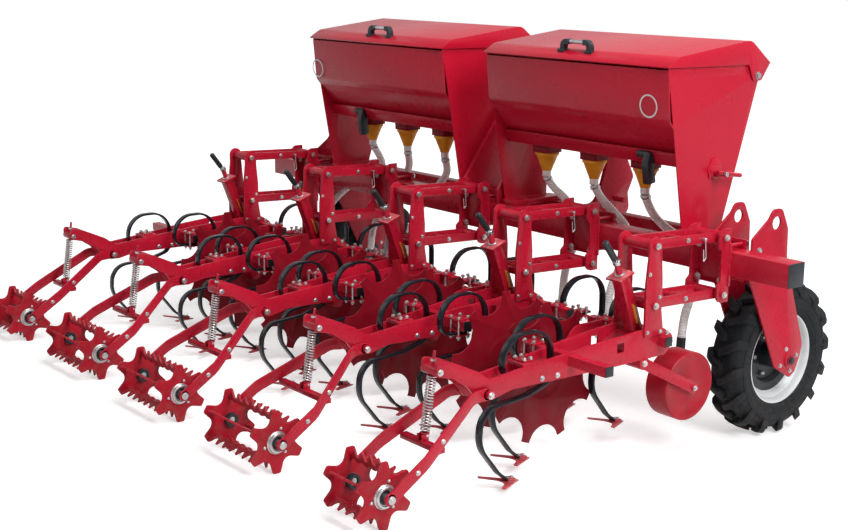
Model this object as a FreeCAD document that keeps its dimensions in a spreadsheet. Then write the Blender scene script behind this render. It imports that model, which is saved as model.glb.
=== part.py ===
"""Inter-row cultivator: five parallelogram units under a toolbar, two hoppers and two drive wheels.

Frame: X across the machine, +Y forward to the tractor, +Z up, the ground at Z = 0 and the origin on
the ground below the middle of the machine. It is drawn level, then leaned back on its wheels as it parks. Lengths are in millimetres. Every driving size is a cell
of the Dims sheet. A unit is built once about X = 0 and placed five times along the toolbar.
"""
import FreeCAD, Part

import math
import os
import re

from FreeCAD import Rotation, Vector

DOC = FreeCAD.newDocument("inter_row_cultivator")

SIZES = (
    # toolbar and headstock
    ("bar_overhang", 375, "end unit's middle to the toolbar's end"),
    ("bar_side", 100, "toolbar side"),
    ("bar_wall", 8, "toolbar wall"),
    ("bracket_gap", 37.5, "front pivots to the toolbar's rear face"),
    ("bar_z", 817, "toolbar axis, height"),
    ("cap_depth", 30, "depth of a plastic end cap"),
    ("front_bar_side", 60, "side of the tube ahead of the toolbar"),
    ("front_bar_step", 250, "toolbar's axis to the front tube's axis"),
    ("hitch_x", 410, "middle of the machine to a lower hitch plate"),
    ("mast_x", 125, "middle of the machine to a mast plate"),
    ("mast_ear_x", 30, "middle of the machine to a top link ear"),
    ("hitch_plate", 20, "hitch plate thickness"),
    ("hitch_pin_r", 14, "lower hitch pin radius, category 2"),
    ("hitch_pin_length", 70, "free length of a lower hitch pin"),
    ("hitch_pin_y", 1105, "lower hitch pin, forward"),
    ("hitch_pin_z", 877, "lower hitch pin, height"),
    ("top_pin_r", 12.7, "top link bore radius, category 2"),
    ("top_pin_z", 1487, "top link bore, height"),
    ("top_pin_y", 1129, "top link bore, forward"),
    # unit: pivots of the parallelogram
    ("unit_pitch", 750, "distance between units"),
    ("pivot_y", 130, "rear pivots, forward"),
    ("pivot_z", 950, "upper rear pivot, height"),
    ("link_reach", 412.5, "front pivots ahead of the rear ones"),
    ("link_fall", 16, "front pivots below the rear ones"),
    ("pivot_spread", 239, "upper pivot above lower pivot"),
    ("pin_r", 10, "pivot pin radius"),
    ("pin_fit", 0.05, "radial clearance of a pin in its tube"),
    ("side_gap", 0.5, "gap between a pivot tube and its plate"),
    ("plate", 10, "thickness of a unit plate"),
    ("cheek_half", 75, "unit middle to the inner face of a cheek"),
    ("cheek_r", 35, "round end of a cheek"),
    ("foot_half", 92, "unit middle to the edge of its clamp plate"),
    ("clamp_half", 80, "unit middle to the edge of its front clamp plate"),
    ("tie_x", 60, "unit middle to a clamp tie rod"),
    ("tube_r", 22, "pivot tube radius"),
    ("link_bar", 12, "link side bar thickness"),
    ("link_bar_height", 40, "link side bar height"),
    ("link_bar_half", 48, "unit middle to the inner face of a link side bar"),
    # unit: beam
    ("beam_drop", 216, "lower rear pivot above the under side of the beam"),
    ("beam_rear", -933, "rear end of the horn"),
    ("cross_side", 40, "crossbar side"),
    ("cross_rise", 65, "crossbar axis above the under side of the beam"),
    ("front_cross_y", 190, "front crossbar, forward"),
    ("mid_cross_y", -290, "middle crossbar, forward"),
    ("front_cross_half", 312, "unit middle to the end of the front crossbar"),
    ("mid_cross_half", 200, "unit middle to the end of the middle crossbar"),
    ("spindle_side", 50, "side of the depth spindle tube"),
    # unit: tines
    ("tine_width", 32, "tine width"),
    ("tine_thick", 10, "tine thickness"),
    ("rear_tine_y", -485, "clamp of the rear tine, forward"),
    ("front_tine_step", 140, "front crossbar to the clamps of the front tines, forward"),
    ("tine_seat", 10, "thickness of a tine's clamp plate"),
    ("mid_tine_x", 150, "unit middle to a middle tine"),
    ("front_tine_x", 230, "unit middle to a front tine"),
    ("share_half", 80, "half span of a share"),
    ("share_length", 150, "length of a share"),
    ("share_thick", 6, "share thickness"),
    ("share_z", 105, "lowest edge of a share above the ground"),
    ("share_pitch", 9, "nose-down angle of a share, degrees"),
    # unit: shield disc
    ("disc_r", 294, "shield disc radius"),
    ("disc_thick", 5, "shield disc thickness"),
    ("disc_x", 252, "unit middle to the inner face of a disc"),
    ("disc_y", -126, "disc axle, forward"),
    ("disc_z", 402, "disc axle, height"),
    ("disc_teeth", 9, "teeth of a shield disc"),
    ("gullet_r", 82, "radius of the gullet between two teeth"),
    ("disc_pin_r", 14, "disc axle radius"),
    # unit: gauge wheel
    ("gauge_r", 145, "gauge wheel radius"),
    ("gauge_width", 112, "gauge wheel width"),
    ("gauge_y", 400, "gauge wheel axle, forward"),
    ("gauge_z", 320, "gauge wheel axle, height"),
    ("gauge_pin_r", 12.5, "gauge wheel axle radius"),
    ("gauge_pivot_y", 100, "gauge arm pivot, forward"),
    ("gauge_pivot_drop", 18, "gauge arm pivot below the under side of the beam"),
    # unit: star roller
    ("roller_r", 125, "star roller radius"),
    ("roller_half", 175, "half width of a middle unit's roller"),
    ("end_roller_half", 100, "half width of an end unit's roller"),
    ("roller_y", -1205, "roller axle, forward"),
    ("roller_z", 250, "roller axle, height"),
    ("roller_lobes", 6, "lobes of a roller plate"),
    ("roller_pin_r", 15, "roller axle radius"),
    ("arm_height", 45, "roller arm bar height"),
    ("arm_pivot_y", -708, "roller arm pivot, forward"),
    ("arm_pivot_rise", 10, "roller arm pivot above the under side of the beam"),
    ("arm_bend_y", -1065, "bend of the roller arm, forward"),
    ("arm_bend_z", 337, "bend of the roller arm, height"),
    ("arm_gap", 7, "horn plate to the arm's inner face at its pivot"),
    ("spring_r", 19, "coil spring outer radius"),
    ("spring_rod_r", 8, "spring rod radius"),
    # stance
    ("stand_shift", -3.168, "the level drawing's middle to the parked machine's middle"),
    ("roller_tip", 0.17, "how far a roller's corner stands beyond its radius"),
    # drive wheels
    ("tyre_r", 345, "drive tyre radius"),
    ("tyre_width", 170, "drive tyre width"),
    ("rim_r", 202, "rim bead radius"),
    ("wheel_step", 12, "end unit's middle to the middle of a drive wheel, outward"),
    ("wheel_y", 974, "drive axle, forward"),
    ("wheel_pin_r", 20, "drive axle radius"),
    ("fork_half", 100, "wheel middle to the middle of a fork plate"),
    # hoppers
    ("hopper_inner", 165, "machine middle to the inner side of a hopper"),
    ("hopper_inset", 200, "end unit's middle to the outer side of a hopper, inward"),
    ("sheet", 5, "hopper sheet thickness"),
    ("foot_height", 23, "height of a hopper foot above the toolbar"),
    ("foot_width", 90, "width of a hopper foot"),
    ("lid_gap", 6, "gap between a lid and its hopper"),
    ("hinge_step", 413, "toolbar's axis to the lid hinge, forward"),
    ("hinge_z", 1547, "lid hinge, height"),
    ("hinge_pin_r", 6, "lid hinge pin radius"),
    ("outlet_pitch", 315, "distance between metering outlets"),
    ("outlet_first", 385, "machine middle to the first outlet"),
    ("outlet_step", 49, "toolbar's axis to a metering outlet, forward"),
    ("trough_z", 1215, "under side of the hopper trough"),
    ("outlet_z", 1030, "lower end of a funnel"),
    ("hose_r", 20, "seed and fertiliser hose radius"),
    ("hose_end_z", 405, "lower end of a hose, height"),
)

# places that follow from those sizes
LAYOUT = (
    ("bar_length", "4 * unit_pitch + 2 * bar_overhang"),
    ("bar_y", "pivot_y + link_reach + bracket_gap + bar_side / 2"),
    ("front_bar_y", "bar_y + front_bar_step"),
    ("beam_low", "pivot_z - pivot_spread - beam_drop"),
    ("cross_z", "beam_low + cross_rise"),
    ("gauge_pivot_z", "beam_low - gauge_pivot_drop"),
    ("arm_pivot_z", "beam_low + arm_pivot_rise"),
    ("arm_root_x", "cheek_half - 3 * plate + arm_gap"),
    ("wheel_x", "2 * unit_pitch + wheel_step"),
    ("hopper_outer", "2 * unit_pitch - hopper_inset"),
    ("hinge_y", "bar_y + hinge_step"),
    ("outlet_y", "bar_y + outlet_step"),
)

DIMS = DOC.addObject("Spreadsheet::Sheet", "Dims")
for line, (alias, number, note) in enumerate(SIZES, start=1):
    DIMS.set(f"A{line}", note)
    DIMS.set(f"B{line}", str(number))
    DIMS.setAlias(f"B{line}", alias)
DOC.recompute()

SIZE = {alias: float(getattr(DIMS, alias)) for alias, _, _ in SIZES}
HOME = {alias: "Dims" for alias, _, _ in SIZES} | {alias: "Places" for alias, _ in LAYOUT}
WORDS = re.compile(r"\b(" + "|".join(HOME) + r")\b")


def bound(text):
    """The text with each size's name tied to its cell or place."""
    return WORDS.sub(lambda found: f"{HOME[found[1]]}.{found[1]}", str(text))


PLACES = DOC.addObject("App::FeaturePython", "Places")
for alias, formula in LAYOUT:
    PLACES.addProperty("App::PropertyFloat", alias)
    PLACES.setExpression(alias, bound(formula))
    DOC.recompute()
    SIZE[alias] = float(getattr(PLACES, alias))

# The machine is drawn level and parks on its drive wheels and rollers, which lean it about the axle.
AXLE = Vector(0, SIZE["wheel_y"], SIZE["tyre_r"])
REACH = Vector(0, SIZE["wheel_y"] - SIZE["roller_y"], SIZE["tyre_r"] - SIZE["roller_z"])
LEAN = math.degrees(math.asin((SIZE["tyre_r"] - SIZE["roller_r"] - SIZE["roller_tip"]) / REACH.Length)
                    - math.atan2(REACH.z, REACH.y))
STANCE = FreeCAD.Placement(Vector(0, SIZE["stand_shift"], 0), Rotation(Vector(1, 0, 0), LEAN), AXLE)
TURN = {"X": Rotation(Vector(0, 1, 0), 90), "Y": Rotation(Vector(1, 0, 0), -90), "Z": Rotation()}
NODES = {}


def place(item, at, turn=None):
    """Put an object at three bound coordinates."""
    if turn is not None:
        item.Placement = FreeCAD.Placement(Vector(), turn)
    for axis, text in zip("xyz", at):
        item.setExpression(f"Placement.Base.{axis}", bound(text))
    return item


def box(name, low, size):
    """A block from its low corner."""
    item = DOC.addObject("Part::Box", name)
    for side, text in zip(("Length", "Width", "Height"), size):
        item.setExpression(side, bound(text))
    return place(item, low)


def rod(name, start, radius, length, axis="X"):
    """A round bar that runs from its start along an axis."""
    item = DOC.addObject("Part::Cylinder", name)
    item.setExpression("Radius", bound(radius))
    item.setExpression("Height", bound(length))
    return place(item, start, TURN[axis])


def join(name, items):
    """One solid of several that touch."""
    item = DOC.addObject("Part::MultiFuse", name)
    item.Shapes = items
    item.Refine = True
    return item


def cut(name, base, tools):
    """The base less its tools."""
    tool = tools[0] if len(tools) == 1 else join(name + "_tools", tools)
    item = DOC.addObject("Part::Cut", name)
    item.Base = base
    item.Tool = tool
    item.Refine = True
    return item


def common(name, items):
    """What several shapes share."""
    item = DOC.addObject("Part::MultiCommon", name)
    item.Shapes = items
    item.Refine = True
    return item


def group(name, items):
    """Several solids that stay separate."""
    item = DOC.addObject("Part::Compound", name)
    item.Links = items
    return item


def mirror(name, item):
    """The item seen across the machine's middle plane."""
    twin = DOC.addObject("Part::Mirroring", name)
    twin.Source = item
    twin.Normal = Vector(1, 0, 0)
    twin.Base = Vector()
    return twin


def node(name, item):
    """Name a finished sub-part after its file, and set it on the ground as the machine parks."""
    stood = DOC.addObject("Part::Compound", name + "_stood")
    stood.Links = [item]
    stood.Placement = STANCE
    stood.Label = name
    NODES[name] = stood
    return stood


def rounded(corners):
    """Lines and arcs through flat corners (a, b, radius), each corner rounded by its radius."""
    spots = [(Vector(c[0], c[1], 0), c[2] if len(c) > 2 else 0) for c in corners]
    count = len(spots)
    legs = []
    for i, (spot, radius) in enumerate(spots):
        if radius == 0:
            legs.append((spot, None, spot))
            continue
        back = (spots[i - 1][0] - spot).normalize()
        ahead = (spots[(i + 1) % count][0] - spot).normalize()
        half = back.getAngle(ahead) / 2
        reach = radius / math.tan(half)
        middle = (back + ahead).normalize() * (radius / math.sin(half) - radius)
        legs.append((spot + back * reach, spot + middle, spot + ahead * reach))
    edges = []
    for i, (start, middle, end) in enumerate(legs):
        if middle is not None:
            edges.append(Part.Arc(start, middle, end))
        follow = legs[(i + 1) % count][0]
        if (follow - end).Length > 1e-6:
            edges.append(Part.LineSegment(end, follow))
    return edges


def band(path, width):
    """Corners of a strip of one width along an open path of corners (a, b, radius)."""
    spots = [Vector(c[0], c[1], 0) for c in path]
    radii = [c[2] if len(c) > 2 else 0 for c in path]
    sides = ([], [])
    for i, spot in enumerate(spots):
        before = (spot - spots[i - 1]).normalize() if i else None
        after = (spots[i + 1] - spot).normalize() if i + 1 < len(spots) else None
        before = before or after
        after = after or before
        normal = Vector(-before.y, before.x, 0)
        other = Vector(-after.y, after.x, 0)
        mitre = (normal + other) / (1 + normal.dot(other))
        bend = before.x * after.y - before.y * after.x
        for side, hand in ((sides[0], 1), (sides[1], -1)):
            radius = max(radii[i] - hand * math.copysign(width / 2, bend), 0) if radii[i] else 0
            edge = spot + mitre * (hand * width / 2)
            side.append((edge.x, edge.y, radius))
    return sides[0] + sides[1][::-1]


PLANES = {"YZ": Rotation(Vector(1, 1, 1), 120), "XY": Rotation(), "XZ": Rotation(Vector(1, 0, 0), 90)}


def profile(name, corners, plane="YZ"):
    """A sketch of rounded corners: in YZ its corners are (y, z), in XY (x, y), in XZ (x, z)."""
    item = DOC.addObject("Sketcher::SketchObject", name)
    item.Placement = FreeCAD.Placement(Vector(), PLANES[plane])
    item.addGeometry(rounded(corners), False)
    return item


def plate(name, corners, start, thick, plane="YZ"):
    """A plate of a flat outline, from its start along the plane's normal."""
    item = DOC.addObject("Part::Extrusion", name)
    item.Base = profile(name + "_outline", corners, plane)
    item.DirMode = "Custom"
    item.Dir = {"YZ": Vector(1, 0, 0), "XY": Vector(0, 0, 1), "XZ": Vector(0, 1, 0)}[plane]
    item.Solid = True
    item.setExpression("LengthFwd", bound(thick))
    axis = {"YZ": "x", "XY": "z", "XZ": "y"}[plane]
    item.setExpression(f"Placement.Base.{axis}", bound(start))
    return item


def turned(name, corners, at):
    """A body turned about the X axis from corners (x, radius)."""
    item = DOC.addObject("Part::Revolution", name)
    item.Source = profile(name + "_outline", corners, "XY")
    item.Axis = Vector(1, 0, 0)
    item.Base = Vector()
    item.Angle = 360
    item.Solid = True
    return place(item, at)


def spin(item, degrees, at=None):
    """Turn an object about the X axis, then put it at three bound coordinates."""
    item.Placement = FreeCAD.Placement(Vector(), Rotation(Vector(1, 0, 0), degrees))
    return place(item, at) if at else item


def pair(name, maker):
    """What a maker builds on the right side, and its mirror image."""
    right = maker(name + "_right")
    return [right, mirror(name + "_left", right)]


# ---- toolbar -------------------------------------------------------------------------------------

def toolbar():
    """The square tube that carries every unit, and its plastic end caps."""
    outer = box("bar_outer", ("-bar_length / 2", "bar_y - bar_side / 2", "bar_z - bar_side / 2"),
                ("bar_length", "bar_side", "bar_side"))
    inner = box("bar_inner",
                ("-bar_length / 2", "bar_y - bar_side / 2 + bar_wall", "bar_z - bar_side / 2 + bar_wall"),
                ("bar_length", "bar_side - 2 * bar_wall", "bar_side - 2 * bar_wall"))
    node("toolbar", cut("bar_tube", outer, [inner]))

    def cap(name):
        plug = box(name + "_plug", ("bar_length / 2 - cap_depth", "bar_y - bar_side / 2 + bar_wall",
                                    "bar_z - bar_side / 2 + bar_wall"),
                   ("cap_depth", "bar_side - 2 * bar_wall", "bar_side - 2 * bar_wall"))
        lid = box(name + "_lid", ("bar_length / 2", "bar_y - bar_side / 2", "bar_z - bar_side / 2"),
                  ("bar_wall / 2", "bar_side", "bar_side"))
        return join(name, [plug, lid])

    node("toolbar_caps", group("bar_caps", pair("bar_cap", cap)))


# ---- one unit: what stays on the toolbar ---------------------------------------------------------

def unit_bracket():
    """Two plates with the front pivot pins, clamped round the toolbar by four tie rods."""
    front_y = SIZE["pivot_y"] + SIZE["link_reach"]
    high = SIZE["pivot_z"] - SIZE["link_fall"]
    low = high - SIZE["pivot_spread"]
    end = SIZE["cheek_r"]
    bar_rear = SIZE["bar_y"] - SIZE["bar_side"] / 2
    waist = front_y - end * 0.4
    outline = [(bar_rear, low - end), (bar_rear, high + end), (front_y - end, high + end, end * 0.98),
               (front_y - end, high - end * 1.1, 12), (waist, high - end * 1.6, 12),
               (waist, low + end * 1.6, 12), (front_y - end, low + end * 1.1, 12),
               (front_y - end, low - end, end * 0.98)]
    cheeks = pair("bracket_cheek", lambda name: plate(name, outline, "cheek_half", "plate"))
    foot = box("bracket_foot", ("-foot_half", "bar_y - bar_side / 2 - plate", "bar_z - 0.9 * bar_side"),
               ("2 * foot_half", "plate", "1.8 * bar_side"))
    pins = []
    for name, drop in (("bracket_pin_high", "0"), ("bracket_pin_low", "pivot_spread")):
        pins.append(rod(name, ("-cheek_half - 2 * plate", "pivot_y + link_reach", f"pivot_z - link_fall - {drop}"),
                        "pin_r", "2 * cheek_half + 4 * plate"))
        pins += pair(name + "_head", lambda side, z=drop: rod(
            side, ("cheek_half + plate", "pivot_y + link_reach", f"pivot_z - link_fall - {z}"),
            "1.7 * pin_r", "plate"))
    clamp = box("bracket_clamp", ("-clamp_half", "bar_y + bar_side / 2", "bar_z - 0.9 * bar_side"),
                ("2 * clamp_half", "plate", "1.8 * bar_side"))
    ties = []
    for name, side in (("bracket_tie_high", "+"), ("bracket_tie_low", "-")):
        ties += pair(name, lambda label, s=side: rod(
            label, ("tie_x", "bar_y - bar_side / 2 - 2.5 * plate", f"bar_z {s} 0.7 * bar_side"),
            "0.8 * pin_r", "bar_side + 5 * plate", "Y"))
    return join("unit_bracket", cheeks + [foot, clamp] + pins + ties)


def link(name, bar_height):
    """Two flat bars between two pivot tubes: a parallelogram link from the front pin to the rear one."""
    fall = math.degrees(math.atan2(SIZE["link_fall"], SIZE["link_reach"]))
    length = math.hypot(SIZE["link_reach"], SIZE["link_fall"])
    tubes = []
    bores = []
    for label, y in (("rear", 0), ("front", length)):
        tubes.append(rod(f"{name}_{label}_tube", ("side_gap - cheek_half", str(y), "0"),
                         "tube_r", "2 * (cheek_half - side_gap)"))
        bores.append(rod(f"{name}_{label}_bore", ("-cheek_half", str(y), "0"), "pin_r + pin_fit", "2 * cheek_half"))
    bars = pair(name + "_bar", lambda side: box(side, ("link_bar_half", "0", f"-{bar_height} / 2"),
                                                ("link_bar", str(length), bar_height)))
    tie = rod(name + "_tie", ("-link_bar_half", str(length * 0.52), "0"), "1.2 * pin_r", "2 * link_bar_half")
    return spin(cut(name, join(name + "_frame", tubes + bars + [tie]), bores), -fall)


# ---- one unit: the beam --------------------------------------------------------------------------

def beam(kind):
    """The cheeks, the two bent side plates with the horn, crossbars, pins, spindle and disc arms."""
    name = f"{kind}_beam"
    cheek, thick = SIZE["cheek_half"], SIZE["plate"]
    low, rear = SIZE["beam_low"], SIZE["beam_rear"]
    y0, z0, end = SIZE["pivot_y"], SIZE["pivot_z"], SIZE["cheek_r"]
    post = [(y0 - 47, low + 90, 12), (y0 - 47, z0 - 150, 120), (y0 - end, z0 - 40, 80), (y0 - end, z0 + end, end * 0.98),
            (y0 + end, z0 + end, end * 0.98), (y0 + end, z0 - 40, 80), (y0 + 45, z0 - 150, 120),
            (y0 + 45, low + 190, 60), (y0 + 62, low + 90, 12)]
    heel, middle = SIZE["arm_pivot_y"], SIZE["mid_cross_y"]
    side = [(y0 + 150, low + 62, 34), (y0 + 87, low, 24), (heel + 130, low, 60), (heel + 40, low - 20, 30),
            (heel - 30, low - 16, 30), (rear + 143, low + 48, 60), (rear + 73, low + 95, 60), (rear, low + 112, 14),
            (rear, low + 170, 14), (rear + 73, low + 152, 60), (rear + 189, low + 99, 60), (heel + 20, low + 57, 60),
            (heel + 184, low + 73), (middle + 70, low + 104), (y0 - 75, low + 122), (y0 + 65, low + 118, 60)]
    narrow = cheek - 4 * thick
    start, end_y = y0 - 195, SIZE["rear_tine_y"] - 80
    bend = [(cheek, y0 + 165), (cheek, start), (narrow + thick, end_y), (narrow + thick, rear - 10),
            (narrow, rear - 10), (narrow, end_y), (cheek - thick, start), (cheek - thick, y0 + 165)]

    def side_plate(label):
        flat = plate(label + "_side", side, "0", "2 * cheek_half")
        plan = plate(label + "_plan", bend, "0", "2 * pivot_z", "XY")
        blank = common(label + "_blank", [flat, plan])
        square = box(label + "_square", ("0", "pivot_y - 170 - cross_side / 2", "cross_z + 5 - cross_side / 2"),
                     ("2 * cheek_half", "cross_side", "cross_side"))
        return cut(label, blank, [square])

    pieces = pair(name + "_cheek", lambda label: plate(label, post, "cheek_half", "plate"))
    pieces += pair(name + "_plate", side_plate)
    for label, drop in (("_pin_high", "0"), ("_pin_low", "pivot_spread")):
        pieces.append(rod(name + label, ("-cheek_half - 2 * plate", "pivot_y", f"pivot_z - {drop}"),
                          "pin_r", "2 * cheek_half + 4 * plate"))
        pieces += pair(name + label + "_head", lambda tag, z=drop: rod(
            tag, ("cheek_half + plate", "pivot_y", f"pivot_z - {z}"), "1.7 * pin_r", "plate"))
    pieces.append(rod(name + "_arm_pin", ("-arm_root_x - 2.6 * plate", "arm_pivot_y", "arm_pivot_z"),
                      "pin_r", "2 * arm_root_x + 5.2 * plate"))
    pieces.append(rod(name + "_trunnion", ("-cheek_half + 3 * plate", "beam_rear + 15", "beam_low + 127"),
                      "1.8 * pin_r", "2 * cheek_half - 6 * plate"))
    pieces.append(box(name + "_rear_seat", ("3.2 * plate - cheek_half", "rear_tine_y - 40",
                                            "cross_z - cross_side / 2"),
                      ("2 * cheek_half - 6.4 * plate", "80", "cross_side")))
    spans = {"mid": ("front_cross_half", "front_cross_half", "mid_cross_half", "mid_cross_half"),
             "end": ("front_cross_half", "115", "mid_cross_half", "255")}[kind]
    pieces.append(box(name + "_front_cross", (f"-{spans[0]}", "front_cross_y - cross_side / 2",
                                              "cross_z - cross_side / 2"),
                      (f"{spans[0]} + {spans[1]}", "cross_side", "cross_side")))
    pieces.append(box(name + "_mid_cross", (f"-{spans[2]}", "mid_cross_y - cross_side / 2",
                                            "cross_z - cross_side / 2"),
                      (f"{spans[2]} + {spans[3]}", "cross_side", "cross_side")))
    pieces += spindle(name)
    pieces += gauge_arm(name)
    for hand in ((-1, 1) if kind == "mid" else (-1,)):
        pieces += disc_arm(name, hand)
    rod_hole = along(name + "_rod_hole", SIZE["spring_rod_r"] + 1, spring_seat(), 2 * spring_seat())
    return cut(name, join(name + "_frame", pieces), [rod_hole])


def spindle(name):
    """The slanted depth tube between the cheeks, with its flange and crank nut."""
    half = SIZE["spindle_side"] / 2
    y, low = SIZE["pivot_y"], SIZE["beam_low"]
    foot, head = (y - 17, low + 98), (y - 107, low + 332)
    tube = plate(name + "_spindle", band([foot, head], 2 * half), "-spindle_side / 2", "spindle_side")
    lean = Vector(0, head[0] - foot[0], head[1] - foot[1]).normalize()
    top = Vector(0, head[0], head[1])
    flange = plate(name + "_flange", band([(top.y, top.z), ((top + lean * 8).y, (top + lean * 8).z)], 3.2 * half),
                   "-0.8 * spindle_side", "1.6 * spindle_side")
    stem = DOC.addObject("Part::Cylinder", name + "_stem")
    stem.setExpression("Radius", bound("1.3 * pin_r"))
    stem.Height = 70
    stem.Placement = FreeCAD.Placement(top, Rotation(Vector(0, 0, 1), lean))
    brace = box(name + "_spindle_foot", ("plate - cheek_half", "pivot_y - 55", "beam_low + 85"),
                ("2 * cheek_half - 2 * plate", "80", "plate"))
    return [tube, flange, stem, brace]


def gauge_arm(name):
    """The bar from the pivot under the beam to the gauge wheel's axle, on the right of the wheel."""
    pivot = (SIZE["gauge_pivot_y"], SIZE["gauge_pivot_z"])
    hub = (SIZE["gauge_y"], SIZE["gauge_z"])
    ahead = Vector(hub[0] - pivot[0], hub[1] - pivot[1], 0).normalize() * 20
    bar = plate(name + "_gauge_bar", band([(pivot[0] - ahead.x, pivot[1] - ahead.y),
                                           (hub[0] + ahead.x, hub[1] + ahead.y)], 45),
                "gauge_width / 2 + plate", "plate")
    boss = rod(name + "_gauge_boss", ("-cheek_half", "gauge_pivot_y", "gauge_pivot_z"), "26", "2 * cheek_half")
    axle = rod(name + "_gauge_axle", ("-gauge_width / 2 - 6", "gauge_y", "gauge_z"), "gauge_pin_r",
               "gauge_width + 6 + 3 * plate")
    stop = rod(name + "_gauge_stop", ("-gauge_width / 2 - 6 - plate", "gauge_y", "gauge_z"), "1.6 * gauge_pin_r", "plate")
    return [bar, boss, axle, stop]


def disc_arm(name, hand):
    """The bar from the front crossbar back to a shield disc's axle, inside the disc."""
    tag = f"{name}_disc_{'right' if hand > 0 else 'left'}"
    start = (SIZE["front_cross_y"] + 10, SIZE["cross_z"] + 5)
    route = band([start, (SIZE["disc_y"] + 130, SIZE["cross_z"] + 5, 60), (SIZE["disc_y"], SIZE["disc_z"])], 45)
    inner = "disc_x - 4 * plate"
    bar = plate(tag + "_bar", route, inner if hand > 0 else f"-({inner}) - plate", "plate")
    boss_x = inner if hand > 0 else "-(disc_x - 5)"
    boss = rod(tag + "_boss", (boss_x, "disc_y", "disc_z"), "1.8 * disc_pin_r", "4 * plate - 5")
    axle_x = inner if hand > 0 else f"-({inner}) - 4 * plate - 32"
    axle = rod(tag + "_axle", (axle_x, "disc_y", "disc_z"), "disc_pin_r", "4 * plate + 32")
    head_x = "disc_x + 28" if hand > 0 else "-disc_x - 28 - plate"
    head = rod(tag + "_head", (head_x, "disc_y", "disc_z"), "1.6 * disc_pin_r", "plate")
    return [bar, boss, axle, head]


# ---- one unit: tines -----------------------------------------------------------------------------

TINE_PATH = ((55, 0), (-105, 0, 50), (-105, 160, 105), (140, 160, 105), (140, -52, 60), (20, -86, 120),
             (-205, -100, 90), (-214, -240, 120), (-118, -362, 90), (-66, -402))


def tine(name, x, bar_y, step):
    """A spring tine under its clamp plate below a bar, with a share whose edges lie on the ground."""
    clamp_y = f"{bar_y} + {step}"
    under = "cross_z - cross_side / 2 - tine_seat"
    spring = plate(name + "_spring", band(TINE_PATH, SIZE["tine_thick"]), f"{x} - tine_width / 2", "tine_width")
    spring.setExpression("Placement.Base.y", bound(clamp_y))
    spring.setExpression("Placement.Base.z", bound(under + " - tine_thick / 2"))
    seat = box(name + "_seat", (f"{x} - tine_width / 2 - 6", f"{bar_y} - cross_side / 2 - 12", under),
               ("tine_width + 12", f"{step} + cross_side + 24", "tine_seat"))
    span, long = SIZE["share_half"], SIZE["share_length"]
    outline = [(0, long / 2), (span, 8 - long / 2), (span - 14, -long / 2, 4), (0, long / 2 - 62, 40),
               (14 - span, -long / 2, 4), (-span, 8 - long / 2)]
    blade = plate(name + "_blade", outline, "0", "share_thick", "XY")
    neck = box(name + "_neck", ("-tine_width / 2", str(long / 2 - 72), "0"), ("tine_width", "40", "share_thick + 12"))
    share = join(name + "_share", [blade, neck])
    pitch = SIZE["share_pitch"]
    lift = SIZE["share_length"] / 2 * math.sin(math.radians(pitch))
    spin(share, -pitch, (x, f"{clamp_y} - 66 - share_length / 2 + 60", f"share_z + {lift}"))
    return join(name, [spring, share, seat])


def tines(kind):
    """All the tines of one unit."""
    clamps = {"mid": (("rear", "0", "rear_tine_y", "0"), ("mid_right", "mid_tine_x", "mid_cross_y", "0"),
                      ("mid_left", "-mid_tine_x", "mid_cross_y", "0"),
                      ("front_right", "front_tine_x", "front_cross_y", "front_tine_step"),
                      ("front_left", "-front_tine_x", "front_cross_y", "front_tine_step")),
              "end": (("rear", "0", "rear_tine_y", "0"), ("mid_left", "-mid_tine_x", "mid_cross_y", "0"),
                      ("front_left", "-front_tine_x", "front_cross_y", "front_tine_step"))}[kind]
    return group(f"{kind}_tines", [tine(f"{kind}_{label}_tine", *spot) for label, *spot in clamps])


# ---- one unit: roller ----------------------------------------------------------------------------

def spring_line():
    """The ends of the spring rod's axis: the lug on the arm's tie and the horn's trunnion."""
    return (Vector(0, SIZE["beam_rear"] - 29, SIZE["arm_bend_z"] - 20),
            Vector(0, SIZE["beam_rear"] + 15, SIZE["beam_low"] + 127))


def spring_seat():
    """How far above the rod's lower end the coil's upper cup sits, under the trunnion."""
    foot, eye = spring_line()
    return (eye - foot).Length - 1.8 * SIZE["pin_r"] - 2


def along(name, radius, begin, end):
    """A round piece on the spring rod's axis, between two distances from the lug."""
    foot, eye = spring_line()
    lean = (eye - foot).normalize()
    piece = DOC.addObject("Part::Cylinder", name)
    piece.Radius = radius
    piece.Height = end - begin
    piece.Placement = FreeCAD.Placement(foot + lean * begin, Rotation(Vector(0, 0, 1), lean))
    return piece


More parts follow.
